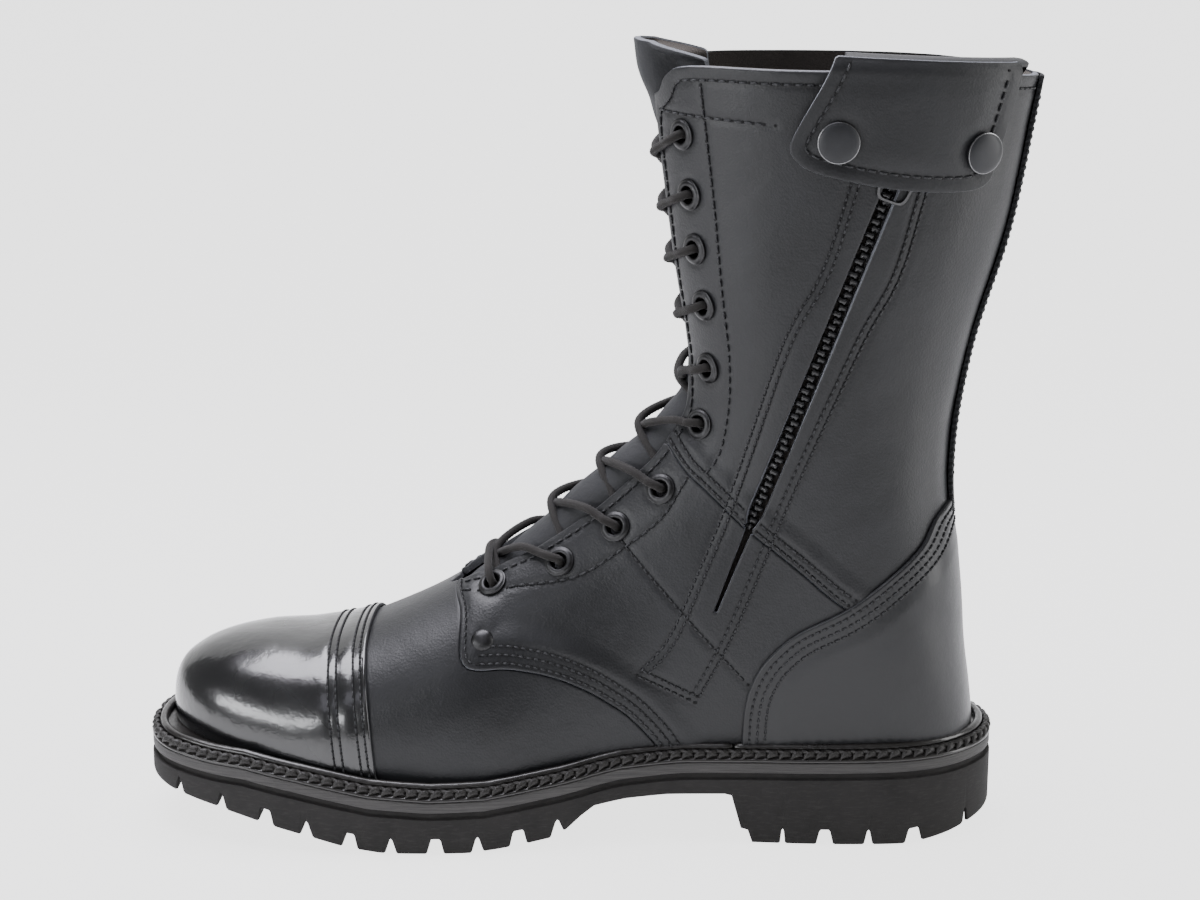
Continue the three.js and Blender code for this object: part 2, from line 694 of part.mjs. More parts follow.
// The strand climbing from one side: it zigzags up through all the eyelets and ends under the facing.
function strand(startSide) {
  const points = [];
  let side = startSide;
  for (let k = 0; k + 1 < EYELET_PLACES.length; k += 1) {
    points.push(...crossing(EYELET_PLACES[k], EYELET_PLACES[k + 1], side, side < 0 ? 1.6 : -2.1));
    side = -side;
  }
  const top = EYELET_PLACES[EYELET_PLACES.length - 1];
  const tuck = [top[0] + 0.35, top[1]];
  points.push(lacePoint(top, 0, 0, side), lacePoint(top, 2.2, LACE_UNDER, side));
  points.push(lacePoint(tuck, 9, LACE_UNDER - 0.2, side));
  return points;
}

function buildLace() {
  const bottom = EYELET_PLACES[0];
  const over = (side) => [
    lacePoint(bottom, 0, 2.6, side),
    lacePoint(bottom, 2.2, LACE_OVER, side),
    throatPoint(bottom, bottom, 0, 1, LACE_OVER - 0.4, side),
  ];
  const bar = [...over(-1), atArc(bottom[0], 0, LACE_OVER - 2), ...over(1).reverse()];
  const path = [...strand(-1).reverse(), ...bar, ...strand(1)];
  const smooth = new THREE.CatmullRomCurve3(path, false, "centripetal");
  const rings = tube(smooth.getPoints(Math.round(path.length * 1.15)), LACE_RADIUS, 5, false);
  place("lace", loft(rings), "fabric");
}

function buildEyelets() {
  const profile = [
    [EYELET_BORE, -0.5], [3.1, -0.5], [3.1, 2.6], [EYELET_FLANGE, 2.6], [4.7, 3.1], [EYELET_BORE, 3.1],
  ];
  Object.entries(EYELET_FRAMES).forEach(([side, frames]) => {
    frames.forEach((frame, k) => place(`eyelet_${side}_${k + 1}`, turned(profile, 8, frame), "metal"));
  });
}

// ---------------------------------------------------------------- fittings
function buildRivets() {
  const profile = [[0, 0.6], [1.2, 0.6], [1.2, 2.8], [3.5, 2.8], [3.1, 3.5], [1.6, 4], [0, 4]];
  Object.entries(rivetFrames).forEach(([side, frame]) => {
    place(`rivet_${side}`, turned(profile, 8, frame), "metal");
  });
}

function buildSnaps() {
  const cap = [[0, 5.4], [1.6, 5.4], [1.6, 7.7], [SNAP_CAP, 7.7], [SNAP_CAP, 8.6], [6, 9.4], [0, 9.6]];
  const socket = [[3.4, 3.5], [4.8, 3.5], [4.8, 5.0], [3.4, 5.0]];
  const stud = [[0, 2.4], [4.4, 2.4], [4.4, 2.9], [2.0, 3.1], [2.0, 4.4], [0, 4.6]];
  Object.entries({ front: SNAP_FRONT, rear: SNAP_REAR }).forEach(([name, at]) => {
    const frame = standingAt(at, -1);
    place(`snap_cap_${name}`, turned(cap, 16, frame), "metal");
    place(`snap_socket_${name}`, turned(socket, 10, frame), "metal");
    place(`snap_stud_${name}`, turned(stud, 10, frame), "metal");
  });
}

// The flap patch: a fine sheet over the inner rear of the collar.
function flapSheet(v0, v1, a0, a1, offsets, steps) {
  const rings = [];
  for (let k = 0; k <= steps; k += 1) {
    const angle = -(a0 + ((a1 - a0) * k) / steps);
    const outer = [];
    const inner = [];
    for (let j = 0; j <= 3; j += 1) {
      const v = v0 + ((v1 - v0) * j) / 3;
      outer.push(skin(v, angle, offsets[1]));
      inner.unshift(skin(v, angle, offsets[0]));
    }
    rings.push([...outer, ...inner]);
  }
  return loft(rings);
}

function buildFlap() {
  const sheet = flapSheet(8.6, 10.8, 0.75, 2.85, FLAP, 16);
  const holes = [SNAP_FRONT, SNAP_REAR].map((at) => disc(2.1, 4, 9, 6, standingAt(at, -1)));
  const outline = prism(curve(FLAP_OUTLINE, 2), -WIDE, -2);
  place("top_flap", sheet.intersect(outline).subtract(wasm.Manifold.union(holes)), "leather");
  const zone = (low) => prism([[-7, low], [-7, FOLD_TOP], [54, FOLD_TOP], [54, low]], -WIDE, -2);
  const inside = flapSheet(9, 10.9, 0.75, 2.85, FLAP_BASE, 16).intersect(zone(262));
  const wrap = flapSheet(9, 10.9, 0.75, 2.85, [FLAP_BASE[0], FLAP[0] - 0.4], 16);
  const over = wrap.intersect(zone(FOLD_TOP - 1.8));
  place("flap_base", inside.add(over), "leather");
}

// The slider's frame: Y runs down the straight line it slides on, Z stands off the boot.
function sliderFrame() {
  const at = (share) => new THREE.Vector3().setFromMatrixPosition(standingAt(zipPoint(share), -1));
  const origin = at(SLIDER_AT);
  const down = at(SLIDER_LOWEST).sub(origin).normalize();
  const normal = new THREE.Vector3().setFromMatrixColumn(standingAt(zipPoint(0.7), -1), 2);
  normal.addScaledVector(down, -normal.dot(down)).normalize();
  return new THREE.Matrix4().makeBasis(down.clone().cross(normal), down, normal).setPosition(origin);
}

function box(x0, x1, y0, y1, z0, z1, frame) {
  const corner = (x, y, z) => new THREE.Vector3(x, y, z).applyMatrix4(frame);
  const ring = (z) => [corner(x0, y0, z), corner(x1, y0, z), corner(x1, y1, z), corner(x0, y1, z)];
  return loft([ring(z0), ring(z1)]);
}

function buildSlider() {
  const frame = sliderFrame();
  const body = box(-1.8, 1.8, -6, 6, 2.9, 3.8, frame);
  const lugs = box(-1.8, -0.9, -5, -1, 3.7, 5.4, frame).add(box(0.9, 1.8, -5, -1, 3.7, 5.4, frame));
  place("zip_slider", body.add(lugs), "metal");
  const loop = box(-PULL_HALF, PULL_HALF, 0.2, PULL_LONG, 4.2, 5, frame);
  const neck = box(-0.55, 0.55, -3.55, 1, 4.2, 5, frame);
  const window = box(-PULL_HALF + 1.2, PULL_HALF - 1.2, 6.2, PULL_LONG - 1.2, 3, 6, frame);
  place("zip_pull", loop.add(neck).subtract(window), "metal");
}

// ---------------------------------------------------------------- bottom parts
// The sole's outline as a closed path, drawn in by inset and lifted above the welt.
function outlinePath(inset, lift) {
  const inner = SOLE_PLAN.slice(1, -1).map(([x, y]) => [x, y]);
  const outer = SOLE_PLAN.slice(1, -1).map(([x, , y]) => [x, y]).reverse();
  const rim = [SOLE_PLAN[0].slice(0, 2), ...inner, [HEEL_X, 0], ...outer];
  return rim.map(([x, y], k) => {
    const before = rim[(k + rim.length - 1) % rim.length];
    const after = rim[(k + 1) % rim.length];
    const run = Math.hypot(after[0] - before[0], after[1] - before[1]);
    const inX = x - (inset * (after[1] - before[1])) / run;
    const inY = y + (inset * (after[0] - before[0])) / run;
    return new THREE.Vector3(inX, inY, feather(inX) + lift);
  });
}

function buildWelt() {
  const filled = cup(null, OVERLAY[1] + CLEARANCE).intersect(below(feather, 60));
  const ring = slab(feather, weltBottom, 0).subtract(filled.subtract(below(weltBottom, -2)));
  place("welt", ring, "rubber");
  place("welt_stitch", loft(tube(outlinePath(1.7, 1.0), 0.7, 4, true), true), "fabric");
}

function buildInside() {
  const board = slab((x) => upperBottom(x) - 0.3, (x) => weltBottom(x) + 0.3, 16);
  place("insole_board", slab((x) => feather(x) - 0.3, upperBottom, 15.5), "fabric");
  const shankPlan = prism([[-125, -20], [-125, 80], [-10, 80], [-10, -20]], -8, 8);
  const gap = prism([[-126, -20], [-126, 80], [-9, 80], [-9, -20]], -8.5, 8.5);
  place("shank", board.intersect(shankPlan), "metal");
  place("cork_filler", board.subtract(gap), "cork");
  place("footbed", slab((x) => feather(x) + 5, feather, 17), "fabric");
}

// A wedge-sided gap between two lugs, cut from one edge of the sole to the centre rib.
function lugGap(x, half, side) {
  const root = half * (half < NARROW_GAP ? 0.2 : 0.55);
  const floor = tread(x);
  const outline = [
    [x - half, floor - 3], [x - half, floor], [x - root, floor + LUG_DEPTH],
    [x + root, floor + LUG_DEPTH], [x + half, floor], [x + half, floor - 3],
  ];
  return side < 0 ? prism(outline, -WIDE, -CENTRE_RIB) : prism(outline, CENTRE_RIB, WIDE);
}

function buildSole() {
  place("midsole", slab((x) => weltBottom(x) - 0.4, midsoleBottom, 0.3), "rubber");
  const block = slab(grooveBottom, tread, 0);
  const neck = slab((x) => midsoleBottom(x) - 0.5, (x) => grooveBottom(x) - 1, GROOVE_INSET);
  const gaps = [];
  [-1, 1].forEach((side) => {
    LUG_GAPS.forEach(([x, half]) => gaps.push(lugGap(x, half, side)));
  });
  place("outsole", block.add(neck).subtract(wasm.Manifold.union(gaps)), "rubber");
}

buildSole();
buildWelt();
buildInside();
buildLeather();
buildOverlays();
buildLining();
buildStiffeners();
buildTongue();
buildLace();
buildEyelets();
buildRivets();
buildSnaps();
buildFlap();
buildSlider();

export default group;
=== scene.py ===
# Black lace-up duty boot with a side zip: its looks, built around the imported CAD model.
# Lengths in this file are millimetres in the CAD frame until place() turns them into metres.
import functools
import math

import bpy
import numpy as np
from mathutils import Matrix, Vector
from mathutils.kdtree import KDTree


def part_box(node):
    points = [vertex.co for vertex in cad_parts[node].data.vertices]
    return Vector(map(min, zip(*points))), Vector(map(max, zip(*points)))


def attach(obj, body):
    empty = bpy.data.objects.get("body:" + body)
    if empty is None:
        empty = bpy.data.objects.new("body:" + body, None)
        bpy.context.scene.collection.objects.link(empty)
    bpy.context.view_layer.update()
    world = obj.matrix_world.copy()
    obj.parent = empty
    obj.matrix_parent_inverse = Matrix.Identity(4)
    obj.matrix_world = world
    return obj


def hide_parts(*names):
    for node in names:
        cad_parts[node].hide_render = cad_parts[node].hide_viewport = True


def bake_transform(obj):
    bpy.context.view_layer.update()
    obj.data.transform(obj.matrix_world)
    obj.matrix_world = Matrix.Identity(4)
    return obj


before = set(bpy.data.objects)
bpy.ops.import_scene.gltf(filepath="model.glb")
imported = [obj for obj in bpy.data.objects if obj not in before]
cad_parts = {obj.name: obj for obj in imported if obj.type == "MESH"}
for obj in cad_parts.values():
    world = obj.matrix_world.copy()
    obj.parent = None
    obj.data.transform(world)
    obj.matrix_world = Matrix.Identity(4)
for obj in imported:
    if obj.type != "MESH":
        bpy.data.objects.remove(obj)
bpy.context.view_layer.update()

# ---------------------------------------------------------------- driving sizes
TOE_X = -259.0
HEEL_X = 55.0
GRID_STEP = 1.1

LEATHER = (0.3, 2.3)
OVERLAY = (2.6, 4.1)
LINING = (-2.9, -1.5)
LINING_BACK = 23.0
TAPE = (-1.2, -0.1)
FLAP = (5.9, 7.6)
FOLD_Z = 284.6
FOLD_SLOPE = 0.055

WELT_THICK = 3.4
MIDSOLE_THICK = 4.2
GROOVE_THICK = 2.4
GROOVE_INSET = 1.8
LUG_DEPTH = 5.6
# Gaps between lugs: x of the centre and half width at the tread.
LUG_GAPS = [
    (-104.3, 2.4), (-118.1, 3.2), (-132.7, 2.2), (-147.8, 3.2), (-163.9, 2.2), (-178.8, 3.0),
    (-194.6, 2.4), (-209.7, 3.0), (-226.5, 2.0), (-243.5, 1.8),
    (-22.8, 1.1), (-7.5, 3.2), (8.4, 1.7), (25.0, 3.3), (44.5, 1.1),
]
NARROW_GAP = 2.5
CENTRE_RIB = 13.0
RIB_SLOPE = 1.6

EYELET_HOLE = 3.4
EYELET_PLACES = [
    (1.6, 20.5), (2.46, 28.5), (3.2, 30.0), (3.95, 30.0), (5.2, 24.5),
    (6.52, 26.0), (7.6, 27.5), (8.34, 26.5), (9.02, 26.5), (9.79, 26.3),
]
LACE_RADIUS = 1.5
LACE_OVER = 4.7
LACE_UNDER = -2.7
# Where strands cross between two eyelets: section numbers and shares of the way there.
LACE_LEAN = ([4.5, 6.5], [0.04, 0.42])
UPPER_STRAND = 2.9
LOWER_STRAND = 0.8
LACE_STEP = 0.42
LACE_SIDES = 20
TONGUE_FACE = -5.4
TONGUE_THICK = 2.4
SNAPS = {"front": (-9.3, 256.9), "rear": (36.3, 252.5)}
RIVET_AT = (-131.8, 73.2)
ZIP_BOTTOM = np.array([-36.5, 118.0])
ZIP_TOP = np.array([24.0, 279.0])
ZIP_LENGTH = float(np.hypot(*(ZIP_TOP - ZIP_BOTTOM)))
SLIT_HALF = 2.7
CUT_REACH = 33.0
TAPE_HALF = 11.0

# Seam lines as they show from the side: x, z.
CAP_EDGE = [(-176, 130), (-175.5, 76), (-174, 62), (-171.5, 43), (-168, 10)]
VAMP_SEAM = [
    (-146, 130), (-144.5, 92), (-140.5, 82), (-138.3, 66.2), (-122, 65), (-108, 62.5),
    (-97, 58.5), (-88, 53.5), (-78, 46), (-67, 32), (-61, 12),
]
SHAFT_SEAM = [
    (-76, 160), (-62, 139), (-52, 130), (-38, 118), (-20, 104), (-3, 90), (20, 76), (70, 62),
]
COUNTER_SEAM = [
    (-38.5, 4), (-38, 40), (-36.5, 55), (-32, 66), (-25.5, 74), (-17.5, 80.5), (-2, 89),
    (12, 99.5), (24, 110), (33, 122), (60, 128),
]
COLLAR = [
    (-95, 262), (-72.5, 268), (-68, 275.5), (-60, 279.5), (-30, 279.5), (30, 278.5), (66, 275), (80, 274),
]
FLAP_OUTLINE = [
    (-10, 286), (-14.5, 276), (-19.5, 267), (-24, 258.5), (-25.3, 254), (-23.4, 250), (-17, 246),
    (0, 242), (13.7, 239.8), (27, 238.7), (37.5, 239), (42.5, 241.5), (45, 246.5), (48.3, 259.4), (55, 286),
]
COLLAR_ROW = [(-75, 266), (-69, 263.5), (-45, 262), (-24, 260.5)]
CROSS_ROW = [(-83, 111), (-62, 88), (-41, 65)]
ZIP_FRONT_ROW = [
    (-3.5, 240), (-12, 211), (-25, 184.7), (-41.7, 130.5), (-53.5, 100), (-63.5, 76.2), (-74, 63),
]
ZIP_REAR_ROW = [
    (20.5, 240), (12, 209), (-0.3, 185), (-22.3, 132.5), (-33, 104), (-43.8, 77), (-55.5, 54),
]
ZIP_FOOT_ROW = [(-74, 63), (-55.5, 54)]
LOWER_STAY_ROW = [(-144, 86), (-137, 88), (-120, 92), (-98, 97), (-81, 108), (-68, 119), (-61, 130)]

# ---------------------------------------------------------------- the last surface
TOE_CENTRE = (-175.0, 36.0)
TOE_LENGTH = 73.5
TOE_HEIGHT = 29.5
TOE_UNDER = 32.0
TOE_PROFILE = 3.4
TOE_PLAN = 2.1
TOE_ANGLES = (0, 14, 28, 42, 56, 72)
# Front x z, back x z, half width, sideways shift, widest fraction, front and back roundness.
SECTIONS = [
    [-175, 70.6, -170, 4, 43, -1.5, 0.56, 2.3, 2.3],
    [-145, 85, -133, 0, 45, 0.5, 0.62, 2.2, 2.3],
    [-120, 104, -98, 2, 40.5, 2.5, 0.62, 2.0, 2.4],
    [-93.5, 126.5, -60, 5, 35, 2, 0.6, 2.05, 2.5],
    [-74, 145, -10, 8, 34, 1, 0.55, 2.2, 2.5],
    [-62, 159, 39.5, 20, 34, 0, 0.5, 2.3, 2.4],
    [-58.5, 173, 38.8, 75, 35, 0, 0.48, 2.3, 2.2],
    [-59.5, 188, 33.5, 133, 36.5, 0, 0.47, 2.2, 2.1],
    [-63.5, 210, 38.5, 178, 38.5, 0, 0.46, 2.1, 2.1],
    [-67.5, 236, 50.5, 222, 41, 0, 0.46, 2, 2.1],
    [-70.5, 262, 57.5, 262, 43.5, 0, 0.46, 2, 2.1],
    [-73.5, 292, 62.5, 292, 46, 0, 0.46, 2, 2.1],
]


def toe_row(degrees):
    first = SECTIONS[0]
    reach = math.cos(math.radians(degrees))
    rise = (1 - reach ** TOE_PROFILE) ** (1 / TOE_PROFILE)
    spread = (1 - reach ** TOE_PLAN) ** (1 / TOE_PLAN)
    x = TOE_CENTRE[0] - TOE_LENGTH * reach
    top = TOE_CENTRE[1] + TOE_HEIGHT * rise
    bottom = TOE_CENTRE[1] - TOE_UNDER * rise
    return [x, top, x + 5 * rise, bottom, first[4] * spread, *first[5:]]


STATIONS = np.array([toe_row(d) for d in TOE_ANGLES] + SECTIONS, float)
TOE_ROWS = len(TOE_ANGLES)
V_MIN = -TOE_ROWS
V_MAX = len(SECTIONS) - 1
NUDGE = 0.02


def station_at(v):
    """The section's numbers at any place between the stations."""
    row = np.asarray(v, float) + TOE_ROWS
    last = len(STATIONS) - 1
    base = np.clip(np.floor(row).astype(int), 0, last - 1)
    t = (row - base)[..., None]
    a, b, c, d = (STATIONS[np.clip(base + k, 0, last)] for k in (-1, 0, 1, 2))
    t2, t3 = t * t, t * t * t
    near = (2 * t3 - 3 * t2 + 1) * b + (3 * t2 - 2 * t3) * c
    return near + (t3 - 2 * t2 + t) * (c - a) / 2 + (t3 - t2) * (d - b) / 2


def on_section(s, angle):
    turn = np.abs(angle)
    front = turn <= math.pi / 2
    exponent = 2 / np.where(front, s[..., 7], s[..., 8])
    cosine = np.cos(turn)
    curl = np.sign(cosine) * np.abs(cosine) ** exponent
    along = np.where(front, s[..., 6] * (1 - curl), s[..., 6] - (1 - s[..., 6]) * curl)
    aside = np.sign(angle) * s[..., 4] * np.abs(np.sin(turn)) ** exponent
    x = s[..., 0] + (s[..., 2] - s[..., 0]) * along
    z = s[..., 1] + (s[..., 3] - s[..., 1]) * along
    return np.stack([x, s[..., 5] + aside, z], -1)


def unit(vectors):
    return vectors / np.maximum(np.linalg.norm(vectors, axis=-1, keepdims=True), 1e-12)


def skin_and_normal(v, angle):
    """Points of the last surface and the outward normals there; angle 0 is the front ridge."""
    v, angle = np.broadcast_arrays(np.asarray(v, float), np.asarray(angle, float))
    safe = np.clip(v, V_MIN + NUDGE, V_MAX - NUDGE)
    up = on_section(station_at(safe + NUDGE), angle) - on_section(station_at(safe - NUDGE), angle)
    section = station_at(safe)
    around = on_section(section, angle + NUDGE) - on_section(section, angle - NUDGE)
    return on_section(station_at(v), angle), unit(np.cross(up, around))


def skin(v, angle, offset):
    point, normal = skin_and_normal(v, angle)
    return point + normal * np.asarray(offset, float)[..., None]


def angle_at_arc(v, distance):
    """The angle that lies a distance round one section from the front ridge."""
    angles = np.linspace(0, math.pi * math.copysign(1, distance), 500)
    ring = on_section(station_at(np.full(500, float(v))), angles)
    gone = np.concatenate([[0], np.cumsum(np.linalg.norm(np.diff(ring, axis=0), axis=1))])
    return float(np.interp(abs(distance), gone, angles))


def at_arc(v, distance, offset):
    return skin(np.array(float(v)), np.array(angle_at_arc(v, distance)), offset)


def from_side(x, z, side):
    """The section number and angle of the place on one side that shows at (x, z)."""
    v, a = np.meshgrid(np.linspace(-4, V_MAX, 120), np.linspace(0.02, math.pi - 0.02, 120))
    for reach in (0.3, 0.1, 0.03, 0.01, 0.003, 0.001):
        p = on_section(station_at(v), side * a)
        best = np.argmin(np.hypot(p[..., 0] - x, p[..., 2] - z))
        v0, a0 = v.flat[best], a.flat[best]
        v, a = np.meshgrid(v0 + np.linspace(-reach, reach, 9), a0 + np.linspace(-reach, reach, 9))
        a = np.clip(a, 0, math.pi)
    return v0, side * a0


# ---------------------------------------------------------------- from millimetres to the frame
SOLE_BOX = np.array(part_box("outsole"), float)
MM = (SOLE_BOX[1][0] - SOLE_BOX[0][0]) / (HEEL_X - TOE_X)
ORIGIN = np.array([SOLE_BOX[0][0] - TOE_X * MM, 0.0, SOLE_BOX[0][2]])


def place(points):
    return ORIGIN + np.asarray(points, float) * MM


def facing_out(points, faces):
    """The same faces, turned round if together they enclose less than nothing."""
    volume = 0.0
    for f in faces:
        for k in range(1, f.shape[1] - 1):
            a, b, c = points[f[:, 0]], points[f[:, k]], points[f[:, k + 1]]
            volume += np.einsum("ij,ij->", a, np.cross(b, c))
    return faces if volume > 0 else [f[:, ::-1] for f in faces]


def make_piece(name, points, faces, materials, body="boot", stands_for=(), uv=None, picks=None,
               sharp=38):
    """One mesh piece from arrays of triangles or quads; with no body given, it is attached to none."""
    faces = facing_out(np.asarray(points, float), [np.asarray(f, int) for f in faces if len(f)])
    loops = np.concatenate([f.ravel() for f in faces])
    sizes = np.concatenate([np.full(len(f), f.shape[1]) for f in faces])
    starts = np.concatenate([[0], np.cumsum(sizes)[:-1]])
    mesh = bpy.data.meshes.new(name)
    mesh.vertices.add(len(points))
    mesh.vertices.foreach_set("co", place(points).astype(np.float32).ravel())
    mesh.loops.add(len(loops))
    mesh.loops.foreach_set("vertex_index", loops.astype(np.int32))
    mesh.polygons.add(len(sizes))
    mesh.polygons.foreach_set("loop_start", starts.astype(np.int32))
    if uv is not None:
        layer = mesh.uv_layers.new(name="run")
        layer.data.foreach_set("uv", np.asarray(uv, np.float32)[loops].ravel())
    mesh.update(calc_edges=True)
    mesh.validate()
    for material in materials:
        mesh.materials.append(material)
    if picks is not None:
        picks = np.where(picks < len(materials), picks, 0)
        mesh.polygons.foreach_set("material_index", picks.astype(np.int32))
    mesh.shade_smooth()
    mesh.set_sharp_from_angle(angle=math.radians(sharp))
    piece = bpy.data.objects.new(name, mesh)
    bpy.context.scene.collection.objects.link(piece)
    if body:
        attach(piece, body)
    if stands_for:
        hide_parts(*stands_for)
    return piece


# ---------------------------------------------------------------- patches of the surface
def line_distance(x, z, line):
    """Signed distance to a side-view line, positive on its left, and the distance along it."""
    line = np.asarray(line, float)
    best = np.full(np.shape(x), np.inf)
    signed = np.zeros(np.shape(x))
    along = np.zeros(np.shape(x))
    gone = 0.0
    for k in range(len(line) - 1):
        start, run = line[k], line[k + 1] - line[k]
        length = float(np.hypot(*run))
        run = run / length
        t = (x - start[0]) * run[0] + (z - start[1]) * run[1]
        low = -np.inf if k == 0 else 0.0
        high = np.inf if k == len(line) - 2 else length
        held = np.clip(t, low, high)
        dx = x - start[0] - held * run[0]
        dz = z - start[1] - held * run[1]
        far = np.hypot(dx, dz)
        side = run[0] * (z - start[1]) - run[1] * (x - start[0])
        nearer = far < best
        best = np.where(nearer, far, best)
        signed = np.where(nearer, np.copysign(far, side), signed)
        along = np.where(nearer, gone + t, along)
        gone += length
    return signed, along


def smooth_line(points, per_gap=6):
    """A Catmull-Rom curve through side-view points."""
    p = np.asarray(points, float)
    p = np.vstack([2 * p[0] - p[1], p, 2 * p[-1] - p[-2]])
    t = np.linspace(0, 1, per_gap, endpoint=False)[:, None]
    out = []
    for a, b, c, d in zip(p, p[1:], p[2:], p[3:]):
        square, cube = 2 * a - 5 * b + 4 * c - d, 3 * b - a - 3 * c + d
        out.append(0.5 * (2 * b + (c - a) * t + square * t ** 2 + cube * t ** 3))
    return np.vstack(out + [p[-2:-1]])


def smoothstep(value, low, high):
    t = np.clip((value - low) / (high - low), 0, 1)
    return t * t * (3 - 2 * t)


class Patch:
    """A fine grid over the last surface; rows go up the boot and columns go round it."""

    def __init__(self, v, angle, wrap):
        self.v, self.angle, self.wrap = v, angle, wrap
        self.rows, self.cols = v.shape
        self.point, self.normal = skin_and_normal(v, angle)
        index = np.arange(v.size).reshape(v.shape)
        right = np.roll(index, -1, 1)
        if not wrap:
            index, right = index[:, :-1], right[:, :-1]
        a, b, c, d = (g.ravel() for g in (index[:-1], right[:-1], right[1:], index[1:]))
        even = ((a // self.cols + a) % 2 == 0)[:, None]
        first = np.where(even, np.stack([a, b, c], 1), np.stack([a, b, d], 1))
        second = np.where(even, np.stack([a, c, d], 1), np.stack([b, c, d], 1))
        self.triangles = np.concatenate([first, second])
        flat, up = self.point.reshape(-1, 3), self.normal.reshape(-1, 3)
        corner = flat[self.triangles]
        facing = np.cross(corner[:, 1] - corner[:, 0], corner[:, 2] - corner[:, 0])
        if np.einsum("ij,ij->", facing, up[self.triangles[:, 0]]) < 0:
            self.triangles = self.triangles[:, ::-1]

    def change(self, field, axis):
        if axis == 1 and self.wrap:
            return (np.roll(field, -1, 1) - np.roll(field, 1, 1)) / 2
        return np.gradient(field, axis=axis)

    def slope(self, field):
        """The uphill direction of a field along the surface, and how steep it is."""
        pu, pv = self.change(self.point, 1), self.change(self.point, 0)
        fu, fv = self.change(field, 1), self.change(field, 0)
        e = np.einsum("ijk,ijk->ij", pu, pu)
        f = np.einsum("ijk,ijk->ij", pu, pv)
        g = np.einsum("ijk,ijk->ij", pv, pv)
        det = np.maximum(e * g - f * f, 1e-9)
        uphill = ((g * fu - f * fv) / det)[..., None] * pu + ((e * fv - f * fu) / det)[..., None] * pv
        return unit(uphill), np.linalg.norm(uphill, axis=-1)

    def place_at(self, offset):
        return self.point + self.normal * offset


def clip(triangles, values, data):
    """The part of a triangle mesh where values are positive, cut along the zero line."""
    inside = values > 0
    count = inside[triangles].sum(1)
    whole = triangles[count == 3]

    def turned(rows, wanted):
        first = np.argmax(inside[rows] == wanted, axis=1)
        return np.stack([rows[np.arange(len(rows)), (first + k) % 3] for k in range(3)], 1)

    one = turned(triangles[count == 1], True)
    two = turned(triangles[count == 2], False)
    pairs = np.concatenate([one[:, [0, 1]], one[:, [0, 2]], two[:, [0, 1]], two[:, [0, 2]]])
    unique, inverse = np.unique(np.sort(pairs, 1), axis=0, return_inverse=True)
    inverse = inverse.ravel() + len(values)
    a, b = unique[:, 0], unique[:, 1]
    t = values[a] / (values[a] - values[b])

    def with_cuts(field):
        share = t.reshape(-1, *[1] * (field.ndim - 1))
        return np.concatenate([field, field[a] + (field[b] - field[a]) * share])

    data = {key: with_cuts(field) for key, field in data.items()}
    n1, n2 = len(one), len(two)
    ab, ac = inverse[:n1], inverse[n1:2 * n1]
    pq, pr = inverse[2 * n1:2 * n1 + n2], inverse[2 * n1 + n2:]
    parts = [
        whole,
        np.stack([one[:, 0], ab, ac], 1),
        np.stack([pq, two[:, 1], two[:, 2]], 1),
        np.stack([pq, two[:, 2], pr], 1),
    ]
    kept = np.concatenate(parts)
    used, renumbered = np.unique(kept, return_inverse=True)
    cut = used >= len(values)
    return renumbered.reshape(-1, 3), {key: field[used] for key, field in data.items()}, cut


def open_edges(triangles):
    """Directed edges that only one triangle has."""
    edges = np.concatenate([triangles[:, [0, 1]], triangles[:, [1, 2]], triangles[:, [2, 0]]])
    size = int(triangles.max()) + 1
    keys = edges[:, 0] * size + edges[:, 1]
    back = edges[:, 1] * size + edges[:, 0]
    return edges[~np.isin(keys, back)]


def chains(edges):
    """Directed edges joined into runs of points."""
    after = dict(edges.tolist())
    starts = [a for a in after if a not in set(after.values())]
    runs, left = [], dict(after)
    for start in starts + list(after):
        run = []
        while start in left:
            run.append(start)
            start = left.pop(start)
        if run:
            runs.append(np.array(run + [start]))
    return runs


def flat_fields(patch, fields):
    data = {"point": patch.point, "normal": patch.normal, **fields}
    return {k: np.asarray(f, float).reshape(-1, *np.shape(f)[2:]) for k, f in data.items()}


def contour(patch, field, keep, high):
    """Runs of points along field = 0 where keep is positive, on the surface at its own height."""
    data = flat_fields(patch, {"keep": keep, "high": high})
    triangles, data, cut = clip(patch.triangles, field.ravel(), data)
    edges = open_edges(triangles)
    edges = edges[cut[edges[:, 0]] & cut[edges[:, 1]]]
    edges = edges[(data["keep"][edges[:, 0]] > 0) & (data["keep"][edges[:, 1]] > 0)]
    runs = []
    for run in chains(edges):
        if len(run) > 6:
            at = data["point"][run] + data["normal"][run] * data["high"][run][:, None]
            runs.append((at, data["normal"][run]))
    return runs


BEVEL_STEPS = (0.0, 30.0, 60.0, 90.0)


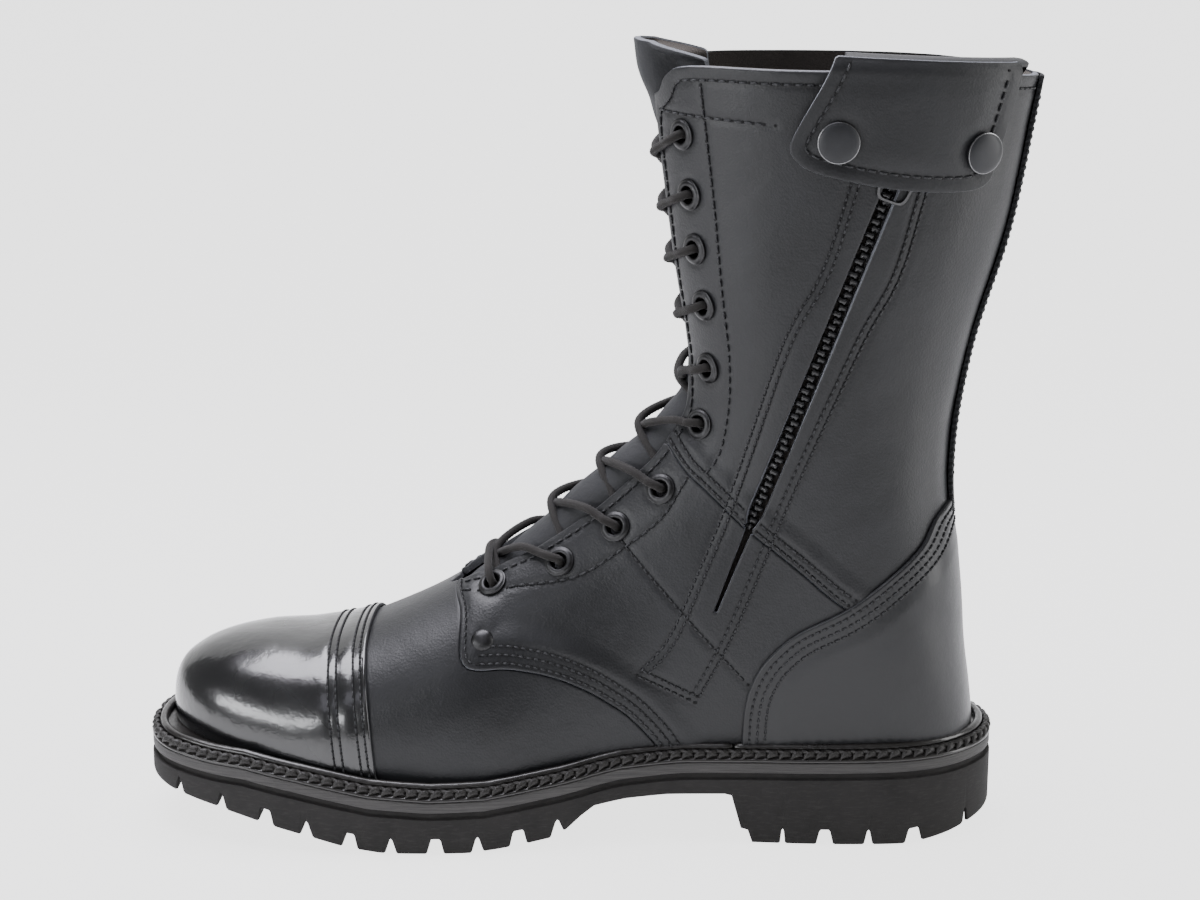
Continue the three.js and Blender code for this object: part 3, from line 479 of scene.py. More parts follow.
def panel(patch, distance, low, high, bevel=0.6):
    """A closed sheet of leather where distance is positive, with its cut edge rounded over."""
    uphill, steep = patch.slope(distance)
    near = distance / np.maximum(steep, 0.5)
    shape = patch.v.shape
    fields = {"out": -uphill, "low": np.broadcast_to(low, shape), "high": np.broadcast_to(high, shape)}
    data = flat_fields(patch, fields)
    triangles, data, _ = clip(patch.triangles, near.ravel() - bevel, data)
    point, normal = data["point"], data["normal"]
    top = point + normal * data["high"][:, None]
    bottom = point + normal * data["low"][:, None]
    edges = open_edges(triangles)
    rim = np.unique(edges)
    number = np.full(len(point), -1)
    number[rim] = np.arange(len(rim))
    out = data["out"][rim]
    out = unit(out - normal[rim] * np.einsum("ij,ij->i", out, normal[rim])[:, None])
    rings = [rim]
    points = [top, bottom]
    total = 2 * len(point)
    thick = (data["high"] - data["low"])[rim]
    for degrees in BEVEL_STEPS[1:]:
        turn = math.radians(degrees)
        aside, down = bevel * math.sin(turn), np.minimum(bevel, thick * 0.6) * (1 - math.cos(turn))
        points.append(top[rim] + out * aside - normal[rim] * down[:, None])
        rings.append(total + np.arange(len(rim)))
        total += len(rim)
    points.append(bottom[rim] + out * bevel)
    rings.append(total + np.arange(len(rim)))
    rings.append(rim + len(point))
    a, b = number[edges[:, 0]], number[edges[:, 1]]
    walls = [np.stack([r0[b], r0[a], r1[a], r1[b]], 1) for r0, r1 in zip(rings, rings[1:])]
    faces = [triangles, triangles[:, ::-1] + len(point), np.concatenate(walls)]
    count = len(triangles)
    soft = len(BEVEL_STEPS) - 2
    picks = np.repeat([0, 2, 0, 1], [count, count, soft * len(edges), len(faces[2]) - soft * len(edges)])
    return np.concatenate(points), faces, picks


# ---------------------------------------------------------------- threads, cords and turned parts
def resample(points, normals, step):
    """Even steps along a run of points."""
    gone = np.concatenate([[0], np.cumsum(np.linalg.norm(np.diff(points, axis=0), axis=1))])
    count = max(2, int(round(gone[-1] / step)) + 1)
    at = np.linspace(0, gone[-1], count)
    even = np.stack([np.interp(at, gone, points[:, k]) for k in range(3)], 1)
    if normals is None:
        return even, at
    return even, unit(np.stack([np.interp(at, gone, normals[:, k]) for k in range(3)], 1))


def soften(points, times):
    for _ in range(times):
        points[1:-1] = points[1:-1] * 0.5 + (points[:-2] + points[2:]) * 0.25
    return points


STITCH_SIDES = 6
HOLE_RADIUS = 0.52
DENSE = (2.75, 1.85, 0.33)
WIDE = (3.9, 2.9, 0.4)
# Share of a stitch's length, lift and thickness there.
STITCH_SHAPE = (
    (0.0, -0.55, 0.45), (0.09, -0.12, 0.92), (0.3, 0.1, 1.05), (0.5, 0.14, 1.1), (0.7, 0.1, 1.05),
    (0.91, -0.12, 0.92), (1.0, -0.55, 0.45),
)
HOLE_SHAPE = ((-0.45, 0.9), (0.06, 1.0), (0.1, 0.55))
STEPS_PER_STITCH = 8


def stitch_bodies(run, normals, pitch, length, radius, twist=0.0):
    """Short plump stitches, each dipping into its holes at both ends."""
    even, up = resample(run, normals, pitch / STEPS_PER_STITCH)
    count = (len(even) - 1) // STEPS_PER_STITCH
    start = np.arange(count)[:, None] * STEPS_PER_STITCH + (1 - length / pitch) * STEPS_PER_STITCH / 2
    share, lift, size = (np.array(c) for c in zip(*STITCH_SHAPE))
    at = start + share[None] * STEPS_PER_STITCH * length / pitch
    steps = np.arange(len(even))
    centre = np.stack([np.interp(at, steps, even[:, k]) for k in range(3)], -1)
    normal = unit(np.stack([np.interp(at, steps, up[:, k]) for k in range(3)], -1))
    along = unit(centre[:, -1:] - centre[:, :1])
    aside = unit(np.cross(normal, np.broadcast_to(along, normal.shape)))
    lean = (share - 0.5)[None, :, None] * twist
    centre = centre + normal * (lift[None, :, None] * radius * 2) + aside * lean
    turn = np.linspace(0, 2 * math.pi, STITCH_SIDES, endpoint=False)
    ring = aside[:, :, None] * np.cos(turn)[:, None] + normal[:, :, None] * np.sin(turn)[:, None]
    points = centre[:, :, None] + ring * (radius * size)[None, :, None, None]
    return points.reshape(count, -1, 3)


def tube_faces(bodies, rings, sides):
    """Quads of many equal tubes laid one after another, with fans at their ends."""
    k = np.arange(sides)
    quads, tris = [], []
    for r in range(rings - 1):
        a = r * sides + k
        b = r * sides + (k + 1) % sides
        quads.append(np.stack([a, b, b + sides, a + sides], 1))
    last = (rings - 1) * sides
    for j in range(1, sides - 1):
        tris.append([0, j + 1, j])
        tris.append([last, last + j, last + j + 1])
    shift = (np.arange(bodies) * rings * sides)[:, None, None]
    quads = (np.concatenate(quads)[None] + shift).reshape(-1, 4)
    tris = (np.array(tris, int).reshape(-1, 3)[None] + shift).reshape(-1, 3)
    return [quads, tris]


def joined(parts):
    points, faces, total = [], [], 0
    for p, fs in parts:
        points.append(p)
        faces += [np.asarray(f) + total for f in fs]
        total += len(p)
    return np.vstack(points), faces


def hole_shade_disks(run, normals, pitch, radius):
    """Small near-black plugs where the thread goes through, one between each pair of stitches: painted shade
    in place of the needle holes.
    """
    even, up = resample(run, normals, pitch)
    along = frames_along(even)[0]
    aside = unit(np.cross(up, along))
    turn = np.linspace(0, 2 * math.pi, STITCH_SIDES, endpoint=False)
    ring = aside[:, None] * np.cos(turn)[:, None] + along[:, None] * np.sin(turn)[:, None]
    rings = [even[:, None] + up[:, None] * lift + ring * radius * size for lift, size in HOLE_SHAPE]
    return np.concatenate(rings, 1)


def stitching(name, rows, pitch, length, radius, body="boot"):
    runs = [(soften(p.copy(), 4), n) for p, n in rows]
    threads = np.concatenate([stitch_bodies(p, n, pitch, length, radius) for p, n in runs])
    holes = np.concatenate([hole_shade_disks(p, n, pitch, HOLE_RADIUS) for p, n in runs])
    thread_faces = tube_faces(len(threads), len(STITCH_SHAPE), STITCH_SIDES)
    hole_faces = tube_faces(len(holes), len(HOLE_SHAPE), STITCH_SIDES)
    points, faces = joined([(threads.reshape(-1, 3), thread_faces), (holes.reshape(-1, 3), hole_faces)])
    picks = np.repeat([0, 1], [sum(map(len, thread_faces)), sum(map(len, hole_faces))])
    return make_piece(name, points, faces, [THREAD, NEEDLE_HOLE_SHADE], body, picks=picks, sharp=80)


def frames_along(points, closed=False):
    """Tangents and two steady cross directions along a path."""
    ahead = np.roll(points, -1, 0) if closed else np.vstack([points[1:], points[-1:]])
    behind = np.roll(points, 1, 0) if closed else np.vstack([points[:1], points[:-1]])
    along = unit(ahead - behind)
    across = np.empty_like(points)
    hand = np.array([0.31, 0.17, 0.93])
    for k, t in enumerate(along):
        hand = hand - t * hand.dot(t)
        hand = hand / np.linalg.norm(hand)
        across[k] = hand
    return along, across, np.cross(along, across)


def catmull_path(points, step):
    """A centripetal Catmull-Rom path, sampled evenly."""
    p = np.asarray(points, float)
    p = np.vstack([2 * p[0] - p[1], p, 2 * p[-1] - p[-2]])
    out = []
    for p0, p1, p2, p3 in zip(p, p[1:], p[2:], p[3:]):
        gaps = [np.linalg.norm(b - a) ** 0.5 + 1e-6 for a, b in ((p0, p1), (p1, p2), (p2, p3))]
        t0, t1, t2, t3 = np.concatenate([[0], np.cumsum(gaps)])
        t = np.linspace(t1, t2, 16, endpoint=False)[:, None]
        a1 = (t1 - t) / (t1 - t0) * p0 + (t - t0) / (t1 - t0) * p1
        a2 = (t2 - t) / (t2 - t1) * p1 + (t - t1) / (t2 - t1) * p2
        a3 = (t3 - t) / (t3 - t2) * p2 + (t - t2) / (t3 - t2) * p3
        b1 = (t2 - t) / (t2 - t0) * a1 + (t - t0) / (t2 - t0) * a2
        b2 = (t3 - t) / (t3 - t1) * a2 + (t - t1) / (t3 - t1) * a3
        out.append((t2 - t) / (t2 - t1) * b1 + (t - t1) / (t2 - t1) * b2)
    return resample(np.vstack(out + [p[-2:-1]]), None, step)


def tube(path, radius, sides):
    """Rings round a path; the radius is one number, or one for each point of each ring."""
    _, across, other = frames_along(path)
    turn = np.linspace(0, 2 * math.pi, sides, endpoint=False)[:, None]
    ring = across[:, None] * np.cos(turn) + other[:, None] * np.sin(turn)
    return path[:, None] + radius * ring


def braid(path, gone, radius, sides, strands, pitch, depth):
    """A round cord whose surface is raised where its strands cross over."""
    turn = np.linspace(0, 2 * math.pi, sides, endpoint=False)[None]
    run = (gone * 2 * math.pi / pitch)[:, None]
    weave = np.cos(strands * turn + run) * np.cos(strands * turn - run)
    thick = radius * (1 + depth * (np.abs(weave) - 0.5))
    return tube(path, thick[..., None], sides)


def lathe(profile, sides, wave=None):
    """Rings of a profile of (radius, height) about Z; wave(angle, row) may move them outwards."""
    turn = np.linspace(0, 2 * math.pi, sides, endpoint=False)
    profile = np.asarray(profile, float)
    radius = profile[:, :1] + (wave(turn[None], profile) if wave else 0)
    x, y = radius * np.cos(turn), radius * np.sin(turn)
    return np.stack([x, y, np.broadcast_to(profile[:, 1:], x.shape)], -1)


def lathe_faces(rings, sides, loop):
    """Faces of a turned part; a loop profile joins its last ring to its first."""
    k = np.arange(sides)
    quads = []
    for r in range(rings if loop else rings - 1):
        n = ((r + 1) % rings) * sides
        quads.append(np.stack([r * sides + k, r * sides + (k + 1) % sides, n + (k + 1) % sides, n + k], 1))
    faces = [np.concatenate(quads)]
    if not loop:
        last = (rings - 1) * sides
        faces.append(np.array([[0, j + 1, j] for j in range(1, sides - 1)]))
        faces.append(np.array([[last, last + j, last + j + 1] for j in range(1, sides - 1)]))
    return faces


def standing(v, angle):
    """A frame on the surface: rows are up the boot, round it, and outwards."""
    origin, z = skin_and_normal(np.array(v), np.array(angle))
    up = on_section(station_at(v + 0.05), np.array(angle)) - origin
    x = unit(up - z * up.dot(z))
    return origin, np.stack([x, np.cross(z, x), z])


def into(frame_at, points):
    origin, axes = frame_at
    return origin + np.asarray(points) @ axes


# ---------------------------------------------------------------- the whole surface and its seams
def even_rows():
    """Section numbers spaced evenly along the boot where it shows."""
    v = np.linspace(V_MIN + 0.004, V_MAX, 1400)
    angles = np.array([0.0, 0.9, math.pi / 2, 2.3, math.pi])
    p = on_section(station_at(v[:, None] + 0 * angles), angles + 0 * v[:, None])
    step = np.linalg.norm(np.diff(p, axis=0), axis=-1)
    seen = (p[1:, :, 2] > feather(p[1:, :, 0]) - 4)
    gone = np.concatenate([[0], np.cumsum(np.maximum((step * seen).max(1), 0.02))])
    count = int(gone[-1] / GRID_STEP) + 1
    return np.interp(np.linspace(0, gone[-1], count), gone, v)


def even_angles(v, columns):
    """Angles spaced evenly round each section, from the back round the inner side and on."""
    fine = np.linspace(-math.pi, math.pi, 1201)
    share = np.linspace(-1, 1, columns, endpoint=False)
    out = np.empty((len(v), columns))
    for k, row in enumerate(v):
        ring = on_section(station_at(np.full(fine.shape, row)), fine)
        gone = np.concatenate([[0], np.cumsum(np.linalg.norm(np.diff(ring, axis=0), axis=1))])
        middle = gone[600]
        inner = share < 0
        out[k, inner] = np.interp(middle * (1 + share[inner]), gone, fine)
        out[k, ~inner] = np.interp(middle + (gone[-1] - middle) * share[~inner], gone, fine)
    return out


FEATHER_LINE = np.array([
    (-262, 36), (-230, 33.5), (-218, 33), (-198, 29.5), (-172, 24.5), (-150, 23), (-130, 23.5),
    (-104, 27.5), (-82, 32), (-60, 34), (0, 35), (60, 36),
], float)


def feather(x):
    """Height of the line where the upper meets the welt."""
    return np.interp(x, FEATHER_LINE[:, 0], FEATHER_LINE[:, 1])


COLUMNS = int(340 / GRID_STEP)
rows_v = even_rows()
boot = Patch(np.repeat(rows_v[:, None], COLUMNS, 1), even_angles(rows_v, COLUMNS), True)
shown = boot.place_at(2.0)
X, Y, Z = shown[..., 0], shown[..., 1], shown[..., 2]


def arc_from_front():
    chord = np.linalg.norm(np.roll(boot.point, -1, 1) - boot.point, axis=-1)
    middle = COLUMNS // 2
    gone = np.cumsum(chord, 1) - chord
    return np.abs(gone - gone[:, middle:middle + 1]), chord.sum(1, keepdims=True) / 2


ARC, HALF_ROUND = arc_from_front()
LATERAL = np.where(boot.angle > 0, 1.0, -1.0) * np.minimum(ARC, np.maximum(HALF_ROUND - ARC, 0))


# Section number and half the throat's width there.
THROAT_LINE = np.array([
    (0.85, -8), (0.98, 2), (1.2, 8), (1.6, 13), (2.2, 17), (3, 18.5), (4, 18), (5, 14.5), (6, 11), (7, 9.5),
    (12, 9),
], float)


def throat_half(v):
    return np.interp(v, THROAT_LINE[:, 0], THROAT_LINE[:, 1])


def least(*fields):
    """The smallest of several fields at each place, where several limits hold together."""
    return functools.reduce(np.minimum, fields)


def zip_fields(x, z):
    """Distance across the zip's line, positive to the rear, and distance up it."""
    run = (ZIP_TOP - ZIP_BOTTOM) / ZIP_LENGTH
    across = (x - ZIP_BOTTOM[0]) * run[1] - (z - ZIP_BOTTOM[1]) * run[0]
    return across, (x - ZIP_BOTTOM[0]) * run[0] + (z - ZIP_BOTTOM[1]) * run[1]


FLOOR = Z - feather(X) + 0.3
UNDER_COLLAR = -line_distance(X, Z, smooth_line(COLLAR, 4))[0]
THROAT = ARC - throat_half(boot.v)
BEHIND_VAMP = line_distance(X, Z, smooth_line(VAMP_SEAM))[0]
ABOVE_SHAFT_SEAM = line_distance(X, Z, smooth_line(SHAFT_SEAM))[0]
IN_COUNTER = -line_distance(X, Z, smooth_line(COUNTER_SEAM))[0]
AHEAD_OF_CAP = -line_distance(X, Z, smooth_line(CAP_EDGE))[0]
ACROSS_ZIP, UP_ZIP = zip_fields(X, Z)
CUT_WIDTH = np.interp(UP_ZIP, [-CUT_REACH, -4, 2, 6], [0.6, 1.1, 1.9, SLIT_HALF])
INNER = LATERAL < 0
SLIT = np.hypot(ACROSS_ZIP, np.minimum(UP_ZIP + CUT_REACH, 0)) - CUT_WIDTH
SLIT = np.where(INNER, SLIT, 50.0)


# ---------------------------------------------------------------- materials
class Look:
    """A node material built one call at a time; texture scales are repeats per metre."""

    def __init__(self, name):
        self.material = bpy.data.materials.new(name)
        self.material.use_nodes = True
        self.tree = self.material.node_tree
        self.tree.nodes.clear()
        coords = self.tree.nodes.new("ShaderNodeTexCoord")
        self.object = coords.outputs["Object"]
        self.uv = coords.outputs["UV"]

    def add(self, kind, inputs=None, output=0, **settings):
        node = self.tree.nodes.new(kind)
        for key, value in settings.items():
            setattr(node, key, value)
        for key, value in (inputs or {}).items():
            self.feed(node.inputs[key], value)
        return node.outputs[output]

    def feed(self, socket, value):
        if isinstance(value, bpy.types.NodeSocket):
            self.tree.links.new(value, socket)
        elif isinstance(value, tuple) and len(value) == 3 and socket.type == "RGBA":
            socket.default_value = (*value, 1)
        else:
            socket.default_value = value

    def stretched(self, scale, vector=None):
        return self.add("ShaderNodeMapping", {"Vector": vector or self.object, "Scale": scale})

    def noise(self, scale, detail=2.0, rough=0.5, vector=None):
        inputs = {"Vector": vector or self.object, "Scale": scale, "Detail": detail, "Roughness": rough}
        return self.add("ShaderNodeTexNoise", inputs)

    def cells(self, scale):
        return self.add("ShaderNodeTexVoronoi", {"Vector": self.object, "Scale": scale})

    def maths(self, operation, a, b=0.0, c=0.0):
        return self.add("ShaderNodeMath", {0: a, 1: b, 2: c}, operation=operation)

    def between(self, share, low, high, from_low=0.3, from_high=0.7):
        """A value from low to high, as share goes from from_low to from_high."""
        inputs = {"Value": share, "From Min": from_low, "From Max": from_high, "To Min": low, "To Max": high}
        return self.add("ShaderNodeMapRange", inputs)

    def blend(self, share, first, second):
        node = self.tree.nodes.new("ShaderNodeMix")
        node.data_type = "RGBA"
        self.feed(node.inputs[0], share)
        self.feed(node.inputs[6], first)
        self.feed(node.inputs[7], second)
        return node.outputs[2]

    def bump(self, height, depth, strength=1.0, under=None):
        inputs = {"Height": height, "Distance": depth, "Strength": strength}
        if under is not None:
            inputs["Normal"] = under
        return self.add("ShaderNodeBump", inputs)

    def finish(self, **inputs):
        """The finished material; inputs are the shader's own, written like base_color."""
        named = {key.replace("_", " ").title().replace("Ior", "IOR"): value for key, value in inputs.items()}
        shader = self.add("ShaderNodeBsdfPrincipled", named)
        self.add_output(shader)
        return self.material

    def add_output(self, shader):
        out = self.tree.nodes.new("ShaderNodeOutputMaterial")
        self.tree.links.new(shader, out.inputs["Surface"])


def grey(level, tint=(1.0, 1.0, 1.0)):
    return tuple(level * t for t in tint)


COOL = (0.94, 0.98, 1.08)
WARM = (1.12, 1.0, 0.9)
DUSTY = (1.05, 1.0, 0.96)


def leather_look(name, level=0.012, rough=0.43, grain=0.3, coat=0.04, coat_rough=0.3, ripple=0.25,
                 tint=COOL):
    look = Look(name)
    fine = look.cells(1150.0)
    pores = look.noise(3200.0, 3.0, 0.6)
    patches = look.noise(28.0, 3.0)
    waves = look.noise(170.0, 2.0)
    height = look.maths("MULTIPLY_ADD", pores, 0.5, fine)
    wavy = look.bump(waves, 0.0006, ripple)
    normal = look.bump(height, 0.00011, grain, wavy)
    colour = look.blend(look.between(patches, 0.0, 1.0), grey(level * 0.8, tint), grey(level * 1.3, tint))
    slow = look.between(patches, rough - 0.05, rough + 0.05)
    roughness = look.maths("ADD", slow, look.between(fine, -0.03, 0.05, 0.0, 0.6))
    return look.finish(
        base_color=colour, roughness=roughness, normal=normal, specular_ior_level=0.42,
        coat_weight=coat, coat_roughness=coat_rough, coat_normal=wavy,
        sheen_weight=0.03, sheen_roughness=0.45, sheen_tint=grey(0.75, COOL),
    )


def polished_look():
    look = Look("polished_leather")
    swirl = look.noise(95.0, 2.0)
    ripple = look.noise(620.0, 2.0, 0.55)
    patches = look.noise(35.0, 2.0)
    wavy = look.bump(swirl, 0.0009, 0.28)
    normal = look.bump(ripple, 0.00016, 0.35, wavy)
    roughness = look.between(patches, 0.2, 0.3)
    return look.finish(
        base_color=grey(0.006, COOL), roughness=roughness, normal=normal, specular_ior_level=0.6,
        coat_weight=1.0, coat_roughness=look.between(patches, 0.09, 0.16), coat_normal=normal,
    )


def edge_look(name, level, tint=COOL):
    look = Look(name)
    fibre = look.noise(2400.0, 4.0, 0.7)
    colour = look.blend(look.between(fibre, 0.0, 1.0), grey(level * 0.45, tint), grey(level * 1.5, tint))
    return look.finish(base_color=colour, roughness=0.85, normal=look.bump(fibre, 0.0003, 0.8))


def suede_look(name, level, tint=WARM):
    look = Look(name)
    nap = look.noise(1900.0, 4.0, 0.7)
    patches = look.noise(45.0, 3.0)
    colour = look.blend(look.between(patches, 0.0, 1.0), grey(level * 0.6, tint), grey(level * 1.5, tint))
    colour = look.blend(look.between(nap, 0.0, 0.5), colour, grey(level * 2.4, tint))
    return look.finish(
        base_color=colour, roughness=0.95, normal=look.bump(nap, 0.0005, 0.9),
        sheen_weight=0.5, sheen_roughness=0.5, sheen_tint=grey(0.5, tint), specular_ior_level=0.2,
    )


def thread_look():
    look = Look("thread")
    wave = {"Vector": look.object, "Scale": 420.0, "Distortion": 1.5, "Detail": 1.0}
    ply = look.add("ShaderNodeTexWave", wave, 1, bands_direction="DIAGONAL")
    fuzz = look.noise(4200.0, 2.0)
    colour = look.blend(look.between(fuzz, 0.0, 1.0), grey(0.006, COOL), grey(0.032, COOL))
    return look.finish(
        base_color=colour, roughness=0.55, normal=look.bump(ply, 0.0002, 0.6), specular_ior_level=0.5,
    )


def cord_look():
    look = Look("welt_cord")
    fibre = look.noise(1500.0, 3.0, 0.65)
    colour = look.blend(look.between(fibre, 0.0, 1.0), grey(0.004, WARM), grey(0.022, WARM))
    return look.finish(
        base_color=colour, roughness=look.between(fibre, 0.35, 0.65), normal=look.bump(fibre, 0.0004, 0.8),
        coat_weight=0.2, coat_roughness=0.3, specular_ior_level=0.35,
    )


def lace_look():
    look = Look("lace_braid")
    fibre = look.noise(5200.0, 3.0, 0.7)
    patches = look.noise(240.0, 2.0)
    colour = look.blend(look.between(fibre, 0.0, 1.0), grey(0.004, WARM), grey(0.026, WARM))
    colour = look.blend(look.between(patches, 0.0, 0.5), colour, grey(0.012, WARM))
    return look.finish(
        base_color=colour, roughness=0.78, normal=look.bump(fibre, 0.0002, 0.7),
        sheen_weight=0.12, sheen_roughness=0.5, specular_ior_level=0.3,
    )


def rubber_look(name, level, rough, tint=WARM, grain=0.5):
    look = Look(name)
    fine = look.noise(2600.0, 3.0, 0.6)
    patches = look.noise(60.0, 3.0)
    scuffs = look.noise(9.0, 3.0, 0.6, look.stretched((30.0, 30.0, 160.0)))
    colour = look.blend(look.between(patches, 0.0, 1.0), grey(level * 0.75, tint), grey(level * 1.3, tint))
    colour = look.blend(look.between(scuffs, 0.0, 0.35, 0.5, 0.75), colour, grey(level * 2.2, tint))
    return look.finish(
        base_color=colour, roughness=look.between(patches, rough - 0.07, rough + 0.07),
        normal=look.bump(fine, 0.0002, grain), specular_ior_level=0.25,
    )


def midsole_look():
    look = Look("midsole_edge")
    strokes = look.noise(1.0, 4.0, 0.65, look.stretched((55.0, 55.0, 1500.0)))
    fine = look.noise(2400.0, 2.0)
    colour = look.blend(look.between(strokes, 0.0, 1.0), grey(0.018, DUSTY), grey(0.07, DUSTY))
    rub = look.bump(strokes, 0.0004, 0.7)
    return look.finish(
        base_color=colour, roughness=look.between(strokes, 0.5, 0.7),
        normal=look.bump(fine, 0.0001, 0.4, rub),
    )


def metal_look(name, level, rough, tint=(1.0, 1.0, 1.02), wear=0.5, metallic=1.0):
    look = Look(name)
    scratches = look.noise(700.0, 4.0, 0.7)
    patches = look.noise(160.0, 2.0)
    worn = look.between(scratches, 0.0, wear, 0.5, 0.72)
    colour = look.blend(worn, grey(level, tint), grey(level * 2.2, tint))
    return look.finish(
        base_color=colour, metallic=metallic, roughness=look.between(patches, rough - 0.07, rough + 0.1),
        normal=look.bump(scratches, 0.00008, 0.5),
    )


def enamel_look():
    look = Look("cap_enamel")
    speckle = look.noise(2800.0, 2.0)
    patches = look.noise(90.0, 2.0)
    colour = look.blend(look.between(patches, 0.0, 1.0), grey(0.018, COOL), grey(0.028, COOL))
    return look.finish(
        base_color=colour, roughness=look.between(speckle, 0.38, 0.5), specular_ior_level=0.35,
        normal=look.bump(speckle, 0.00004, 0.5), coat_weight=0.05, coat_roughness=0.3,
    )


def weave_look(name, level, tint, warp, weft):
    """Woven tape: warp and weft ribs per unit of the piece's own run coordinates."""
    look = Look(name)
    node = look.tree.nodes.new("ShaderNodeSeparateXYZ")
    look.tree.links.new(look.uv, node.inputs[0])
    across = look.maths("SINE", look.maths("MULTIPLY", node.outputs[0], warp * math.pi))
    along = look.maths("SINE", look.maths("MULTIPLY", node.outputs[1], weft * math.pi))
    ribs = look.maths("MULTIPLY", across, along)
    fuzz = look.noise(3600.0, 3.0, 0.7)
    height = look.maths("MULTIPLY_ADD", fuzz, 0.6, ribs)
    # The weave's low places are painted darker and its raised ribs lighter: painted shade and light from the
    # ribs' relief, mixed with random fibre tone from the fuzz.
    raised = look.between(height, 0.0, 1.0, -0.6, 1.3)
    colour = look.blend(raised, grey(level * 0.4, tint), grey(level * 1.7, tint))
    return look.finish(
        base_color=colour, roughness=0.82, normal=look.bump(height, 0.00035, 0.9),
        sheen_weight=0.15, specular_ior_level=0.3,
    )


def flat_grain_look(name, level, tint, scale, depth, rough=0.85):
    look = Look(name)
    grain = look.noise(scale, 4.0, 0.7)
    specks = look.cells(scale * 0.4)
    colour = look.blend(look.between(grain, 0.0, 1.0), grey(level * 0.5, tint), grey(level * 1.5, tint))
    colour = look.blend(look.between(specks, 0.5, 0.0, 0.0, 0.3), colour, grey(level * 0.3, tint))
    return look.finish(base_color=colour, roughness=rough, normal=look.bump(grain, depth, 0.8))


UPPER = leather_look("upper_leather", rough=0.4, grain=0.6)
COUNTER = leather_look(
    "counter_leather", level=0.011, rough=0.33, grain=0.12, coat=0.12, coat_rough=0.22, ripple=0.2,
)
FLAP_LEATHER = leather_look("flap_leather", rough=0.45, grain=0.5)
POLISHED = polished_look()
# The dark edge is the own edge colour of the vamp, toe cap and counter, and painted shade on the lateral
# quarter and shaft.
DARK_EDGE = edge_look("leather_edge", 0.03)
RAW_EDGE = edge_look("raw_leather_edge", 0.22)
THREAD = thread_look()
# Near-black plugs at the needle holes: painted shade standing in for the holes.
NEEDLE_HOLE_SHADE = edge_look("needle_hole_shade", 0.002)
CORD = cord_look()
LACE = lace_look()
SUEDE = suede_look("suede_lining", 0.018)
TONGUE = leather_look("tongue_leather", level=0.02, rough=0.6, grain=0.6, coat=0.0, ripple=0.6)
RUBBER = rubber_look("sole_rubber", 0.022, 0.75, DUSTY)
MIDSOLE = midsole_look()
WELT = leather_look("welt_strip", rough=0.3, coat=0.55, coat_rough=0.16, ripple=0.5, tint=WARM)
EYELET = metal_look("eyelet_metal", 0.045, 0.38)
FITTING = metal_look("fitting_metal", 0.2, 0.36)
RIM = metal_look("cap_rim", 0.2, 0.3)
ENAMEL = enamel_look()
ZIP_METAL = metal_look("zip_metal", 0.1, 0.26)
TEETH = metal_look("zip_teeth", 0.02, 0.2, metallic=0.0, wear=0.2)
WEBBING = weave_look("strap_webbing", 0.016, COOL, 1.0, 0.8)
ZIP_TAPE = weave_look("zip_tape", 0.012, COOL, 1.6, 1.6)


# ---------------------------------------------------------------- heights of the leather and its seam rows
def ripple(point):
    """The slight unevenness of lasted leather."""
    x, y, z = (point[..., k] for k in range(3))
    slow = np.sin(x * 0.11 + y * 0.07 + 1.3) * np.sin(z * 0.09 - y * 0.05 + 0.4)
    quick = np.sin(x * 0.27 - z * 0.19 + 2.1) * np.sin(y * 0.23 + z * 0.16 + 0.8)
    return 0.16 * slow + 0.07 * quick


RIPPLE = ripple(boot.point)
FRONT_ROW = line_distance(X, Z, smooth_line(ZIP_FRONT_ROW))[0]
REAR_ROW = line_distance(X, Z, smooth_line(ZIP_REAR_ROW))[0]
FOOT_ROW = line_distance(X, Z, ZIP_FOOT_ROW)[0]
PLACKET = np.where(INNER, least(FRONT_ROW, -REAR_ROW, FOOT_ROW), -60.0)
STAY_ROW, STAY_ALONG = line_distance(X, Z, smooth_line(LOWER_STAY_ROW))
CROSS, CROSS_ALONG = line_distance(X, Z, smooth_line(CROSS_ROW))
COLLAR_SECOND, COLLAR_ALONG = line_distance(X, Z, smooth_line(COLLAR_ROW))

CAP_HIGH = OVERLAY[1] + 0.5 * RIPPLE
COUNTER_HIGH = CAP_HIGH + 0.35 * smoothstep(IN_COUNTER, 9.5, 14)

EYELET_FRAMES = [
    (side, number, standing(v, angle_at_arc(v, side * arc)))
    for side in (-1, 1)
    for number, (v, arc) in enumerate(EYELET_PLACES, 1)
]
FROM_EYELETS = np.min([np.linalg.norm(boot.point - f[0], axis=-1) for _, _, f in EYELET_FRAMES], 0)
EYELET_CLEAR = FROM_EYELETS - EYELET_HOLE
PRESSED = smoothstep(EYELET_CLEAR, 1.0, 6.0)
DIMPLE = 0.3 * np.exp(-((EYELET_CLEAR - 2.0) / 1.3) ** 2)
VAMP_HIGH = LEATHER[1] + RIPPLE
RAISED = LEATHER[1] + RIPPLE * PRESSED - DIMPLE + 0.6 * smoothstep(PLACKET, -2.5, 1.0)
QUARTER_HIGH = RAISED + 0.9 * (1 - smoothstep(BEHIND_VAMP, 9, 17)) * PRESSED
SHAFT_HIGH = RAISED + 0.8 * (1 - smoothstep(ABOVE_SHAFT_SEAM, 6, 13)) * PRESSED


def soft_min(a, b, radius):
    """The smaller of two fields, with the corner between them rounded."""
    return -radius * np.log(np.exp(-np.clip(a, -90, 90) / radius) + np.exp(-np.clip(b, -90, 90) / radius))


def level_rows(field, levels, keep, high):
    """Rows of stitches where a field has each of the levels."""
    rows = []
    for level in levels:
        rows += contour(boot, field - level, keep, high)
    return rows


